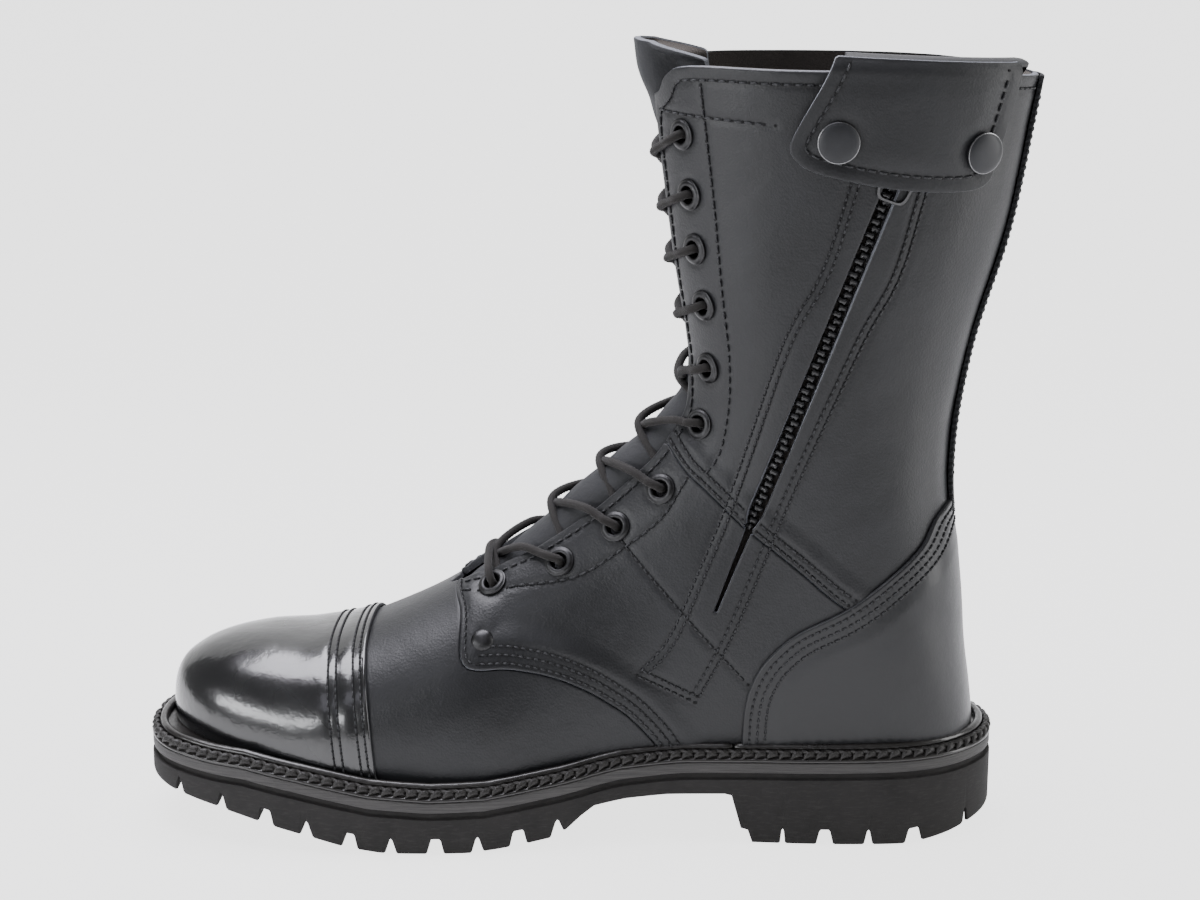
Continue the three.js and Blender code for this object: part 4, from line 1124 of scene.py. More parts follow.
SEAM_ROWS = (2.0, 4.8, 7.6)
CAP_ROWS = (2.1, 4.8, 11.2, 14.2)
COUNTER_ROWS = (2.6, 5.4, 8.2)
SHAFT_ROWS = (1.8, 4.8)
PAIR = (-1.3, 1.3)
SINGLE = (0.0,)
THROAT_ROW = 3.4
FACING_BACK = 36.5
STRAP_CLEAR = 9.5
COLLAR_ROW_LONG = 46.0
VAMP_CORNER = (-133, 77)


def boot_rows():
    """Every row of stitches on the upper: the dense seam rows, then the wide edge rows."""
    wide = []
    clear = least(FLOOR - 1.0, np.abs(SLIT) - 1.2)
    off_eyelets = EYELET_CLEAR - 2.5
    off_counter = -IN_COUNTER - 0.8
    inner_only = np.where(INNER, 5.0, -5.0)
    off_strap = np.where(X > 0, np.abs(Y) - STRAP_CLEAR, 9.0)
    rows = level_rows(AHEAD_OF_CAP, CAP_ROWS, FLOOR - 1.5, CAP_HIGH)
    quarter = least(clear, -ABOVE_SHAFT_SEAM - 1, THROAT - 1.5, off_counter)
    lower_edge = least(quarter, VAMP_CORNER[1] - Z, X - VAMP_CORNER[0])
    rows += level_rows(BEHIND_VAMP, SEAM_ROWS, lower_edge, QUARTER_HIGH)
    rows += level_rows(BEHIND_VAMP, SEAM_ROWS[:1], least(quarter, VAMP_CORNER[0] - X), QUARTER_HIGH)
    wide += level_rows(THROAT, (THROAT_ROW,), least(quarter, BEHIND_VAMP - 2), QUARTER_HIGH)
    stay = least(STAY_ALONG, quarter, off_eyelets, BEHIND_VAMP - 2)
    wide += level_rows(STAY_ROW, SINGLE, stay, QUARTER_HIGH)
    rows += level_rows(CROSS, SINGLE, least(quarter, inner_only, CROSS_ALONG), QUARTER_HIGH)
    rows += level_rows(IN_COUNTER, COUNTER_ROWS, least(FLOOR - 1.5, 125 - Z), COUNTER_HIGH)
    shaft = least(clear, ABOVE_SHAFT_SEAM - 1.2, UNDER_COLLAR - 1, off_counter, THROAT - 1.2)
    rows += level_rows(ABOVE_SHAFT_SEAM, SHAFT_ROWS, shaft, SHAFT_HIGH)
    rim = soft_min(THROAT - 3.6, UNDER_COLLAR - 4.6, 2.5)
    wide += level_rows(rim, SINGLE, least(shaft, off_strap), SHAFT_HIGH)
    upper_facing = least(shaft, UNDER_COLLAR - 6, np.where(boot.v > 4.6, 1.0, -1.0))
    wide += level_rows(ARC - FACING_BACK, SINGLE, upper_facing, SHAFT_HIGH)
    within = np.where(INNER, COLLAR_ROW_LONG - COLLAR_ALONG, off_strap)
    wide += level_rows(COLLAR_SECOND, SINGLE, least(shaft, THROAT - 4.5, within, off_eyelets), SHAFT_HIGH)
    placket = least(clear, off_counter, inner_only)
    whole_high = np.where(ABOVE_SHAFT_SEAM > 0, SHAFT_HIGH, QUARTER_HIGH)
    beside = least(placket, FOOT_ROW + 1.5, UNDER_COLLAR - 20)
    rows += level_rows(FRONT_ROW, PAIR, beside, whole_high)
    rows += level_rows(REAR_ROW, PAIR, beside, whole_high)
    rows += level_rows(FOOT_ROW, PAIR, least(placket, FRONT_ROW + 1.5, 1.5 - REAR_ROW), whole_high)
    return rows, wide


DENSE_ROWS, WIDE_ROWS = boot_rows()


def groove_depth(patch, rows, depth=0.34, width=1.1):
    """How far the thread pulls the leather in at each point of a patch."""
    tree = KDTree(sum(len(p) for p, _ in rows))
    total = 0
    for points, _ in rows:
        for p in points:
            tree.insert(p, total)
            total += 1
    tree.balance()
    flat = patch.place_at(3.0).reshape(-1, 3)
    near = np.array([tree.find(p)[2] for p in flat]).reshape(patch.v.shape)
    return depth * np.exp(-(np.maximum(near - 0.5, 0) / width) ** 2)


GROOVE = groove_depth(boot, DENSE_ROWS + WIDE_ROWS)


def upper_panel(name, distance, high, edge, layer=LEATHER, material=UPPER):
    points, faces, picks = panel(boot, distance, layer[0], high - GROOVE, 0.7)
    make_piece(name + "_leather", points, faces, [material, edge], stands_for=[name], picks=picks)


def build_upper():
    seam = 0.08
    medial, lateral = -LATERAL - seam, LATERAL - seam
    facing = least(THROAT, EYELET_CLEAR)
    quarter = least(BEHIND_VAMP - seam, -ABOVE_SHAFT_SEAM - seam, FLOOR, facing)
    shaft = least(ABOVE_SHAFT_SEAM - seam, UNDER_COLLAR, facing)
    inner_shaft = least(shaft, medial, SLIT)
    upper_panel("vamp", least(-BEHIND_VAMP - seam, FLOOR, THROAT + 1.0), VAMP_HIGH, DARK_EDGE)
    upper_panel("quarter_medial", least(quarter, medial, SLIT), QUARTER_HIGH, RAW_EDGE)
    # The lateral quarter takes the dark edge where the medial quarter takes the raw edge: painted shade on
    # the far side's cut edge.
    upper_panel("quarter_lateral", least(quarter, lateral), QUARTER_HIGH, DARK_EDGE)
    upper_panel("shaft_medial_front", least(inner_shaft, -ACROSS_ZIP), SHAFT_HIGH, RAW_EDGE)
    upper_panel("shaft_medial_rear", least(inner_shaft, ACROSS_ZIP), SHAFT_HIGH, RAW_EDGE)
    # The lateral shaft likewise takes the dark edge: painted shade on the far side's cut edge.
    upper_panel("shaft_lateral", least(shaft, lateral), SHAFT_HIGH, DARK_EDGE)
    upper_panel("toe_cap", least(AHEAD_OF_CAP, FLOOR), CAP_HIGH, DARK_EDGE, OVERLAY, POLISHED)
    upper_panel("heel_counter", least(IN_COUNTER, FLOOR), COUNTER_HIGH, DARK_EDGE, OVERLAY, COUNTER)


def build_lining():
    """The suede inside, stopping short of the throat and rolled out a little under the collar."""
    distance = least(UNDER_COLLAR - 0.4, FLOOR - 0.8, THROAT - LINING_BACK)
    high = LINING[1] + 1.5 * smoothstep(Z, 262, 272)
    points, faces, _ = panel(boot, distance, LINING[0], high, 0.5)
    make_piece("suede_lining", points, faces, [SUEDE], stands_for=["lining"])


build_upper()
build_lining()
stitching("seam_stitching", DENSE_ROWS, *DENSE)
stitching("edge_stitching", WIDE_ROWS, *WIDE)


# ---------------------------------------------------------------- the sole
TREAD_LINE = np.array([
    (-262, 19), (-250, 17), (-240, 15.6), (-229, 13.8), (-218, 11.3), (-205, 8), (-192, 5), (-180, 1.9),
    (-168, 0.2), (-162, 0), (-136, 0), (-125, 1.2), (-115, 2.6), (-106, 4.2), (-101, 7), (-96, 11.5),
    (-91, 15), (-80, 17), (-65, 18.2), (-44, 18.6), (-41.5, 18), (-38, 5.5), (-35.5, 4.8), (-33.8, 0),
    (24, 0), (38, 2.2), (50, 4.6), (60, 7),
], float)
# Station x, inner edge y, outer edge y of the sole seen from above.
SOLE_PLAN = np.array([
    (-259, -8, -8), (-257.6, -20, 5), (-254, -29, 14), (-248, -36.5, 22), (-239, -42.5, 29.5),
    (-227, -47.5, 36), (-211, -51.5, 42.5), (-192, -54, 48), (-170, -55, 52.5), (-148, -54.5, 55),
    (-128, -52, 55), (-110, -48, 53), (-96, -44.5, 50), (-92, -43, 49), (-84, -41, 47.5),
    (-66, -38.5, 44), (-45, -38, 41.5), (-38, -38, 41), (-34, -38, 41), (-15, -38.5, 40),
    (5, -38, 38.5), (22, -36, 36.5), (36, -30.5, 31), (46, -22, 22.5), (52.5, -12, 12.5), (55, 0, 0),
], float)


def tread(x):
    return np.interp(x, TREAD_LINE[:, 0], TREAD_LINE[:, 1])


def welt_bottom(x):
    return feather(x) - WELT_THICK


def midsole_bottom(x):
    return welt_bottom(x) - MIDSOLE_THICK


def groove_bottom(x):
    return midsole_bottom(x) - GROOVE_THICK


def closed_outline():
    """The sole's outline from above, smoothed, inner side first, from toe tip to heel tip and back."""
    inner = SOLE_PLAN[:, [0, 1]]
    outer = SOLE_PLAN[-2:0:-1][:, [0, 2]]
    ring = np.vstack([inner, outer])
    loop = np.vstack([ring[-2:], ring, ring[:3]])
    smooth = catmull_path(np.column_stack([loop, np.zeros(len(loop))]), 0.4)[0][:, :2]
    first = np.argmin(np.hypot(*(smooth[:400] - ring[0]).T))
    last = len(smooth) - 400 + np.argmin(np.hypot(*(smooth[-400:] - ring[0]).T))
    return smooth[first:last]


OUTLINE = closed_outline()
HEEL_TIP = int(np.argmax(OUTLINE[:, 0]))


# Stations where the tread turns up into the arch and down again at the heel.
ARCH_LINES = [
    -102, -101, -99, -96.4, -96, -94, -91.5, -91, -88, -44, -42, -41.5, -41, -38.3, -38, -37, -35.8,
    -35.5, -34.9, -34, -33.8, -33.2,
]


def gap_lines():
    """Places along the sole where a lug's edges need a line of points."""
    lines = []
    for centre, half in LUG_GAPS:
        for aside in gap_shape(half)[0]:
            lines += [centre - aside, centre + aside]
    return lines + ARCH_LINES


def gap_shape(half):
    """A gap's outline: distances from its centre and how deep it is there."""
    root = half * (0.2 if half < NARROW_GAP else 0.55)
    away = [0.0, max(root - 0.4, 0.1), root + 0.2, half - 0.2, half + 0.4]
    return away, [LUG_DEPTH, LUG_DEPTH, LUG_DEPTH - 0.7, 0.45, 0.0]


def sole_stations(step=1.6):
    ends = 18.0
    middle = np.arange(TOE_X + ends, HEEL_X - ends, step)
    turn = np.linspace(0, math.pi / 2, 26)[:-1]
    toe = TOE_X + ends * (1 - np.cos(turn))
    heel = HEEL_X - ends * (1 - np.cos(turn))
    lines = np.array(gap_lines())
    far = np.abs(middle[:, None] - lines[None]).min(1) > 0.35
    return np.unique(np.round(np.concatenate([toe, heel, middle[far], lines, [TOE_X, HEEL_X]]), 3))


STATION_X = sole_stations()


def outward(loop, reach):
    """Outward directions of a flat closed loop."""
    ahead = np.roll(loop, -reach, 0) - np.roll(loop, reach, 0)
    out = unit(np.column_stack([ahead[:, 1], -ahead[:, 0]]))
    return out if np.einsum("ij,ij->", out, loop - loop.mean(0)) > 0 else -out


def outline_ring():
    """Outline points at the stations: down the inner side, back up the outer side."""
    inner = OUTLINE[:HEEL_TIP + 1]
    outer = OUTLINE[HEEL_TIP:][::-1]
    top, end = inner[0], inner[-1]
    x = np.clip(STATION_X, top[0], end[0])
    y_in = np.interp(x, inner[:, 0], inner[:, 1])
    y_out = np.interp(x, outer[:, 0], outer[:, 1])
    y_in[0] = y_out[0] = top[1]
    y_in[-1] = y_out[-1] = end[1]
    return np.vstack([np.column_stack([x, y_in]), np.column_stack([x, y_out])[-2:0:-1]])


RING = outline_ring()
RING_OUT = outward(RING, 1)


def ring_at(inset, z):
    """The outline drawn in, at a height that is a function of x or one number per point."""
    flat = RING - RING_OUT * inset
    height = z(flat[:, 0]) if callable(z) else z
    return np.column_stack([flat, height])


def ring_walls(count, size):
    a = np.arange(size)
    b = (a + 1) % size
    band = np.stack([a, b, b + size, a + size], 1)
    return np.concatenate([band + r * size for r in range(count - 1)])


def ring_cap(start, size, flip):
    """Quads across a ring, from each point to its partner on the other side."""
    half = size // 2
    k = np.arange(1, half - 1)
    quads = start + np.stack([k, k + 1, size - k - 1, size - k], 1)
    ends = start + np.array([[0, 1, size - 1], [half - 1, half, half + 1]])
    if flip:
        return [quads[:, ::-1], ends[:, ::-1]]
    return [quads, ends]


def slab_piece(name, levels, material, stands_for):
    """A closed slab drawn by its outline's inset and height, from its top to its underside."""
    rings = [ring_at(inset, z) for inset, z in levels]
    size = len(RING)
    last = (len(rings) - 1) * size
    faces = [ring_walls(len(rings), size), *ring_cap(0, size, False), *ring_cap(last, size, True)]
    make_piece(name, np.vstack(rings), faces, [material], stands_for=stands_for, sharp=50)


def lifted(line, lift):
    return lambda x: line(x) + lift


def band_levels(top, bottom, inset, soft):
    """A band with rounded top and bottom edges."""
    return [
        (inset + 3 * soft, lifted(top, 0)), (inset + soft, lifted(top, -0.1 * soft)),
        (inset + 0.3 * soft, lifted(top, -0.4 * soft)), (inset, lifted(top, -1.2 * soft)),
        (inset, lifted(bottom, 1.2 * soft)), (inset + 0.3 * soft, lifted(bottom, 0.4 * soft)),
        (inset + soft, lifted(bottom, 0.1 * soft)), (inset + 3 * soft, lifted(bottom, 0)),
    ]


def lug_height(x):
    """How far the tread is cut away at the sole's edge."""
    cut = np.zeros_like(x)
    for centre, half in LUG_GAPS:
        cut = np.maximum(cut, np.interp(np.abs(x - centre), *gap_shape(half)))
    return cut


def build_outsole():
    """The lugged sole: walls down to the tread's edge, then lanes across it with a raised middle rib."""
    size = len(RING)
    edge = tread(RING[:, 0]) + lug_height(RING[:, 0])
    levels = [
        (GROOVE_INSET + 1, lifted(midsole_bottom, -0.1)), (GROOVE_INSET, lifted(midsole_bottom, -0.3)),
        (GROOVE_INSET, lifted(groove_bottom, 0.5)), (GROOVE_INSET - 0.3, lifted(groove_bottom, 0.1)),
        (0.7, groove_bottom), (0.2, lifted(groove_bottom, -0.2)), (0, lifted(groove_bottom, -0.9)),
        (0, edge + 1.2), (0.15, edge + 0.5), (0.5, edge + 0.12), (1.1, edge),
    ]
    rings = [ring_at(inset, z) for inset, z in levels]
    points = [np.vstack(rings)]
    faces = [ring_walls(len(rings), size), *ring_cap(0, size, False)]
    last = (len(rings) - 1) * size
    half = size // 2
    k = np.arange(1, half)
    near, far = rings[-1][k], rings[-1][size - k]
    lanes = [last + k]
    total = len(points[0])
    slope = CENTRE_RIB + RIB_SLOPE
    for y in (-slope, -CENTRE_RIB, -CENTRE_RIB / 2, 0, CENTRE_RIB / 2, CENTRE_RIB, slope):
        lane_y = np.clip(y, near[:, 1] + 0.05 + 0.01 * y, far[:, 1] - 0.05 + 0.01 * y)
        z = tread(near[:, 0]) + (lug_height(near[:, 0]) if abs(y) == slope else 0)
        points.append(np.column_stack([near[:, 0], lane_y, z]))
        lanes.append(total + np.arange(len(k)))
        total += len(k)
    lanes.append(last + size - k)
    for a, b in zip(lanes, lanes[1:]):
        faces.append(np.stack([a[:-1], b[:-1], b[1:], a[1:]], 1))
    ends = []
    for a, b in zip(lanes, lanes[1:]):
        ends.append([last, b[0], a[0]])
        ends.append([last + half, a[-1], b[-1]])
    faces.append(np.array(ends))
    make_piece("lugged_outsole", np.vstack(points), faces, [RUBBER], stands_for=["outsole"],
               sharp=28)


def ring_path(inset, lift, step):
    """An even closed path over the welt."""
    flat = OUTLINE - outward(OUTLINE, 8) * inset
    path = np.column_stack([flat, feather(flat[:, 0]) + lift])
    path = np.vstack([path, path[:1]])
    return resample(path, None, step)[0][:-1]


LIP_INSET = 4.6
LIP_RADIUS = 1.55
LIP_JOINT = (-40.0, -33.0)
LIP_SIDES = 14
CORD_INSET = 1.75
CORD_PITCH = 4.4


def build_welt():
    levels = [
        (13.0, lifted(feather, -0.2)), (7.5, lifted(feather, -0.1)), (6.2, feather),
        (4.6, lifted(feather, 0.1)), (3.6, lifted(feather, -0.1)), (3.1, lifted(feather, -1.1)),
        (1.2, lifted(feather, -1.6)), (0.9, lifted(feather, -2.0)), (0.6, lifted(feather, -2.1)),
        (0.3, lifted(feather, -2.3)), (0.15, lifted(feather, -2.7)), (0.15, lifted(welt_bottom, 0.3)),
        (0.4, lifted(welt_bottom, 0.05)), (3.0, welt_bottom), (13.0, welt_bottom),
    ]
    rings = [ring_at(inset, z) for inset, z in levels]
    size = len(RING)
    walls = ring_walls(len(rings), size)
    k = np.arange(size)
    last = (len(rings) - 1) * size
    inner = np.stack([last + k, last + (k + 1) % size, (k + 1) % size, k], 1)
    make_piece("welt_strip", np.vstack(rings), [walls, inner], [WELT], stands_for=["welt"],
               sharp=50)


def build_lip():
    """The rolled edge beside the upper, an open roll with a joint on the inner waist."""
    path = ring_path(LIP_INSET, 1.0, 1.0)
    start = int(np.argmin(np.hypot(*(path[:, :2] - LIP_JOINT).T)))
    path = np.roll(path, -start, 0)
    step = np.arange(len(path))
    wobble = 1 + 0.05 * np.sin(step * 0.21) * np.sin(step * 0.083 + 1)
    ease = np.minimum(step, step[::-1])
    size = LIP_RADIUS * wobble * np.sqrt(np.clip((ease + 0.6) / 2.0, 0, 1))
    rings = tube(path, size[:, None, None], LIP_SIDES)
    faces = tube_faces(1, len(path), LIP_SIDES)
    make_piece("welt_lip", rings.reshape(-1, 3), faces, [WELT], sharp=60)


def build_cord():
    """The welt's cord: fat stitches end to end, with a thinner ply crossing each of them."""
    path = ring_path(CORD_INSET, -0.75, 0.5)
    up = np.tile([0.0, 0.0, 1.0], (len(path), 1))
    bodies = stitch_bodies(path, up, CORD_PITCH, 5.2, 1.35, 1.6)
    second = stitch_bodies(np.roll(path, 4, 0), up, CORD_PITCH, 4.4, 0.7, -2.2)
    second = second + np.array([0, 0, 0.95])
    points = np.concatenate([bodies, second])
    faces = tube_faces(len(points), len(STITCH_SHAPE), STITCH_SIDES)
    make_piece("welt_cord_stitches", points.reshape(-1, 3), faces, [CORD], stands_for=["welt_stitch"],
               sharp=80)


def build_sole():
    band = band_levels(lifted(welt_bottom, -0.05), midsole_bottom, 0.25, 0.45)
    slab_piece("midsole_band", band, MIDSOLE, ["midsole"])
    build_outsole()
    build_welt()
    build_lip()
    build_cord()
    pad = [(inset, lifted(feather, lift)) for inset, lift in ((19, 5), (17.6, 4.6), (17, 3.6), (17, 0.2))]
    slab_piece("footbed_pad", pad, SUEDE, ["footbed"])


build_sole()


# ---------------------------------------------------------------- tongue, laces and eyelets
def tongue_swell(v):
    """How far the padding lifts the middle of the tongue out between the facings."""
    return np.interp(v, [1.0, 1.6, 2.2, 3.0, 4.6, 5.6, 6.5, 11.0], [5.0, 4.6, 6.2, 7.0, 6.8, 5.4, 3.4, 3.0])


def tongue_fields():
    """The tongue's half width and the height of its face over the grid."""
    half = 20 + 12 * smoothstep(boot.v, 0.9, 2.5)
    share = np.clip(ARC / half, 0, 1)
    high = TONGUE_FACE - 0.8 * share * smoothstep(boot.v, 1.6, 3)
    high = high + 4.6 * (1 - smoothstep(boot.v, 1.0, 1.6))
    inside = np.clip(ARC / (throat_half(boot.v) + 1.5), 0, 1)
    high = high + tongue_swell(boot.v) * (1 - inside ** 3) * smoothstep(boot.v, 1.0, 1.5)
    free = 1 - smoothstep(ARC, 9, 14)
    above = smoothstep(Z, 279, 286)
    flare = smoothstep(boot.v, 9.2, 10.7) * np.maximum(free, above)
    quilt = 0.5 * np.sin(Z * 0.16 + 0.02 * ARC ** 1.5) * (1 - share) + 0.25 * np.sin(Z * 0.37 + ARC * 0.21)
    return half, high + 8.5 * flare + quilt * smoothstep(boot.v, 1.6, 2.4)


def build_tongue():
    half, high = tongue_fields()
    crest = 288.0 - 0.02 * ARC ** 1.7
    distance = least(half - ARC, (boot.v - 1.0) * 26, crest - boot.point[..., 2])
    points, faces, picks = panel(boot, distance, high - TONGUE_THICK, high, 0.7)
    materials = [TONGUE, RAW_EDGE, SUEDE]
    make_piece("tongue_padded", points, faces, materials, "tongue", ["tongue"],
               picks=picks)


def lace_point(eyelet, toward, offset, side):
    """A place at an eyelet, or a little nearer the throat than it."""
    return at_arc(eyelet[0], side * (eyelet[1] - toward), offset)


def on_the_way(middle, eyelet, share, offset, side):
    """A place part of the way from the middle of the throat to an eyelet, in a straight line."""
    return at_arc(middle + (eyelet[0] - middle) * share, side * eyelet[1] * share, offset)


def edge_share(middle, eyelet):
    """Where a strand between the middle and an eyelet meets the facing's edge."""
    return float(throat_half((middle + eyelet[0]) / 2)) / eyelet[1]


def crossing(start, end, side, deep):
    """One strand from inside an eyelet, under its facing, over the throat and down into the next one."""
    lean = float(np.interp(start[0], *LACE_LEAN))
    middle = start[0] + (end[0] - start[0]) * lean
    under = edge_share(middle, start)
    over = edge_share(middle, end)
    return [
        lace_point(start, 0, 0, side),
        lace_point(start, 2.2, LACE_UNDER, side),
        on_the_way(middle, start, (1 + under) / 2, LACE_UNDER, side),
        on_the_way(middle, start, under * 0.97, LACE_UNDER + 0.3, side),
        at_arc(middle, 0, TONGUE_FACE + float(tongue_swell(middle)) + deep),
        on_the_way(middle, end, over, LACE_OVER - 0.4, -side),
        on_the_way(middle, end, (1 + over) / 2, LACE_OVER - 0.4, -side),
        on_the_way(middle, end, 1 - 3.6 / end[1], LACE_OVER - 0.1, -side),
        lace_point(end, 0.6, 2.9, -side),
    ]


def strand(side):
    """Half of the lace, from the lowest eyelet on one side to the loose end behind the highest."""
    points = []
    for start, end in zip(EYELET_PLACES, EYELET_PLACES[1:]):
        points += crossing(start, end, side, UPPER_STRAND if side < 0 else LOWER_STRAND)
        side = -side
    top = EYELET_PLACES[-1]
    points += [lace_point(top, 0, 0, side), lace_point(top, 2.2, LACE_UNDER, side)]
    points.append(lace_point((top[0] + 0.35, top[1]), 9, LACE_UNDER - 0.2, side))
    return points


def build_lace():
    bottom = EYELET_PLACES[0]

    def over(side):
        return [
            lace_point(bottom, 0.5, 2.9, side),
            lace_point(bottom, 3.4, LACE_OVER - 0.2, side),
            on_the_way(bottom[0], bottom, edge_share(bottom[0], bottom), LACE_OVER - 0.4, side),
        ]

    bar = over(-1) + [at_arc(bottom[0], 0, LACE_OVER - 0.6)] + over(1)[::-1]
    path, gone = catmull_path(strand(-1)[::-1] + bar + strand(1), LACE_STEP)
    rings = braid(path, gone, LACE_RADIUS, LACE_SIDES, 4, 3.2, 0.27)
    faces = tube_faces(1, len(path), LACE_SIDES)
    make_piece("lace_cord", rings.reshape(-1, 3), faces, [LACE], stands_for=["lace"], sharp=80)


def turned_piece(name, frame_at, profile, sides, materials, stands_for, body="boot", loop=False,
                 bright=(), wave=None):
    """A turned part standing on the surface; the bright rows of its profile get the second material."""
    rings = lathe(profile, sides, wave)
    faces = lathe_faces(len(profile), sides, loop)
    row = np.repeat(np.arange(len(faces[0]) // sides), sides)
    caps = np.zeros(sum(len(f) for f in faces[1:]), int)
    picks = np.concatenate([np.isin(row, bright).astype(int), caps])
    points = into(frame_at, rings.reshape(-1, 3))
    make_piece(name, points, faces, materials, body, [stands_for], picks=picks, sharp=45)


# Turned profiles: distance from the axis and height over the last surface.
EYELET_PROFILE = [
    (2.75, -0.4), (2.75, 2.3), (2.85, 2.85), (3.1, 3.2), (3.5, 3.42), (3.95, 3.45), (4.4, 3.34),
    (4.8, 3.15), (5.0, 2.95), (5.1, 2.85), (5.45, 2.75), (5.55, 2.45), (5.4, 2.2), (4.4, 2.0), (3.3, 1.9),
    (3.3, -0.4),
]
RIVET_PROFILE = [
    (0.0, 4.35), (1.4, 4.28), (2.6, 4.0), (3.5, 3.55), (4.0, 3.1), (4.15, 2.7), (3.9, 2.45), (1.2, 2.4),
    (1.2, 0.6), (0.0, 0.6),
]
CAP_PROFILE = [
    (0.0, 9.95), (2.4, 9.9), (4.4, 9.72), (5.8, 9.4), (6.45, 9.08), (6.7, 8.88), (6.82, 8.84), (7.08, 8.72),
    (7.15, 8.4), (7.05, 8.1), (6.6, 7.8), (1.6, 7.7), (1.6, 5.4), (0.0, 5.4),
]
CAP_BRIGHT_ROWS = (6, 7)
SOCKET_PROFILE = [
    (2.1, 3.5), (2.1, 5.0), (2.6, 5.4), (4.6, 5.4), (5.2, 5.1), (5.3, 4.5), (5.0, 3.9), (4.4, 3.6),
    (3.2, 3.4),
]
STUD_PROFILE = [
    (0.0, 2.4), (4.8, 2.4), (5.0, 2.7), (4.6, 3.0), (2.4, 3.1), (1.7, 3.4), (1.75, 4.0), (2.0, 4.35),
    (1.7, 4.7), (0.8, 4.85), (0.0, 4.88),
]


def knurl(turn, profile):
    """A fine generic ribbing on the flat of the flange."""
    flat = np.exp(-((profile[:, :1] - 4.4) / 0.4) ** 2)
    return 0.09 * flat * np.sin(turn * 23) * np.sin(turn * 7 + 1)


def build_eyelets():
    names = {-1: "medial", 1: "lateral"}
    for side, number, at in EYELET_FRAMES:
        label = f"eyelet_{names[side]}_{number}"
        turned_piece(label + "_ring", at, EYELET_PROFILE, 48, [EYELET], label, loop=True,
                     wave=knurl)


def standing_at(x, z, side=-1):
    return standing(*from_side(x, z, side))


def build_rivets():
    for side, label in ((-1, "rivet_medial"), (1, "rivet_lateral")):
        frame_at = standing_at(*RIVET_AT, side)
        turned_piece(label + "_cap", frame_at, RIVET_PROFILE, 40, [EYELET], label)


# ---------------------------------------------------------------- back strap and zip
STRAP_HALF = 8.9
STRAP_ROW = 7.2
STRAP_ENDS = (118.0, 275.4)
STRAP_ROW_ENDS = (131.0, 271.0)
ZIP_GAP = 2.35


def build_back_strap():
    """The webbing up the back, over the shaft's seam, with a row of stitches along each side."""
    low, high = OVERLAY[0] + 0.3, np.full(X.shape, OVERLAY[1] + 0.3)
    keep = np.where(X > 0, STRAP_HALF - np.abs(Y), -9.0)
    distance = least(keep, Z - STRAP_ENDS[0], STRAP_ENDS[1] - Z)
    points, faces, _ = panel(boot, distance, low, high, 0.4)
    make_piece("back_strap_webbing", points, faces, [WEBBING], stands_for=["back_strap"],
               uv=points[:, [1, 2]])
    at_back = np.where(X > 0, 9.0, -9.0)
    sewn = least(at_back, Z - STRAP_ROW_ENDS[0], STRAP_ROW_ENDS[1] - Z)
    stitching("back_strap_stitching", contour(boot, np.abs(Y) - STRAP_ROW, sewn, high), *DENSE)


def build_tapes():
    for name, sign in (("front", -1), ("rear", 1)):
        across = sign * ACROSS_ZIP
        distance = least(TAPE_HALF - across, across - ZIP_GAP, UP_ZIP + 5, ZIP_LENGTH - 1 - UP_ZIP)
        distance = np.where(INNER, distance, -20.0)
        points, faces, _ = panel(boot, distance, TAPE[0], np.full(X.shape, TAPE[1]), 0.25)
        make_piece(f"zip_tape_{name}_woven", points, faces, [ZIP_TAPE], stands_for=["zip_tape_" + name],
                   uv=np.column_stack(zip_fields(points[:, 0], points[:, 2])))


TOOTH_SIDES = 8
TOOTH_SHAPE = (
    (-2.4, -0.4, 0.5), (-2.1, 0.0, 0.95), (-1.2, 0.15, 1.0), (-0.3, 0.2, 0.95),
    (0.2, 0.3, 1.25), (0.75, 0.25, 1.2), (1.15, 0.0, 0.6),
)
TOOTH_PITCH = 4.9


def on_zip(share):
    """The section number and angle part of the way up the zip."""
    return from_side(*(ZIP_BOTTOM + (ZIP_TOP - ZIP_BOTTOM) * share), -1)


def zip_line(count):
    """Surface points and axes along the zip: across it, up it and outwards."""
    v, angle = np.array([on_zip(share) for share in np.linspace(0, 0.985, 24)]).T
    point, normal = skin_and_normal(v, angle)
    even, up = resample(point, normal, 0.2)
    at = np.linspace(0, len(even) - 1, count)
    steps = np.arange(len(even))
    centre = np.stack([np.interp(at, steps, even[:, k]) for k in range(3)], 1)
    out = unit(np.stack([np.interp(at, steps, up[:, k]) for k in range(3)], 1))
    ahead = unit(np.gradient(centre, axis=0))
    return centre, unit(np.cross(ahead, out)), ahead, out


def build_teeth():
    """Two rows of teeth that take turns along the zip, each reaching from its tape to the middle."""
    count = int(ZIP_LENGTH / TOOTH_PITCH)
    centre, across, ahead, out = zip_line(2 * count)
    turn = np.linspace(0, 2 * math.pi, TOOTH_SIDES, endpoint=False)
    for name, sign, first in (("front", -1, 0), ("rear", 1, 1)):
        c, a, h, o = (g[first::2] for g in (centre, across, ahead, out))
        if np.einsum("ij,ij->", a, np.tile([1.0, 0, 0], (len(a), 1))) < 0:
            a = -a
        a = a * sign
        rings = []
        for reach, lift, size in TOOTH_SHAPE:
            middle = c - a * reach + o * (lift - 0.1)
            ring = h[:, None] * np.cos(turn)[:, None] + 0.62 * o[:, None] * np.sin(turn)[:, None]
            rings.append(middle[:, None] + size * ring)
        points = np.stack(rings, 1)
        faces = tube_faces(len(points), len(TOOTH_SHAPE), TOOTH_SIDES)
        make_piece(f"zip_teeth_{name}_row", points.reshape(-1, 3), faces, [TEETH],
                   stands_for=["zip_teeth_" + name], sharp=70)


# Shares of the zip's length: the closed slider's place, the low end of its run, and where it lies flat.
SLIDER_RUN = (0.895, 0.2)
SLIDER_FACES = 0.7


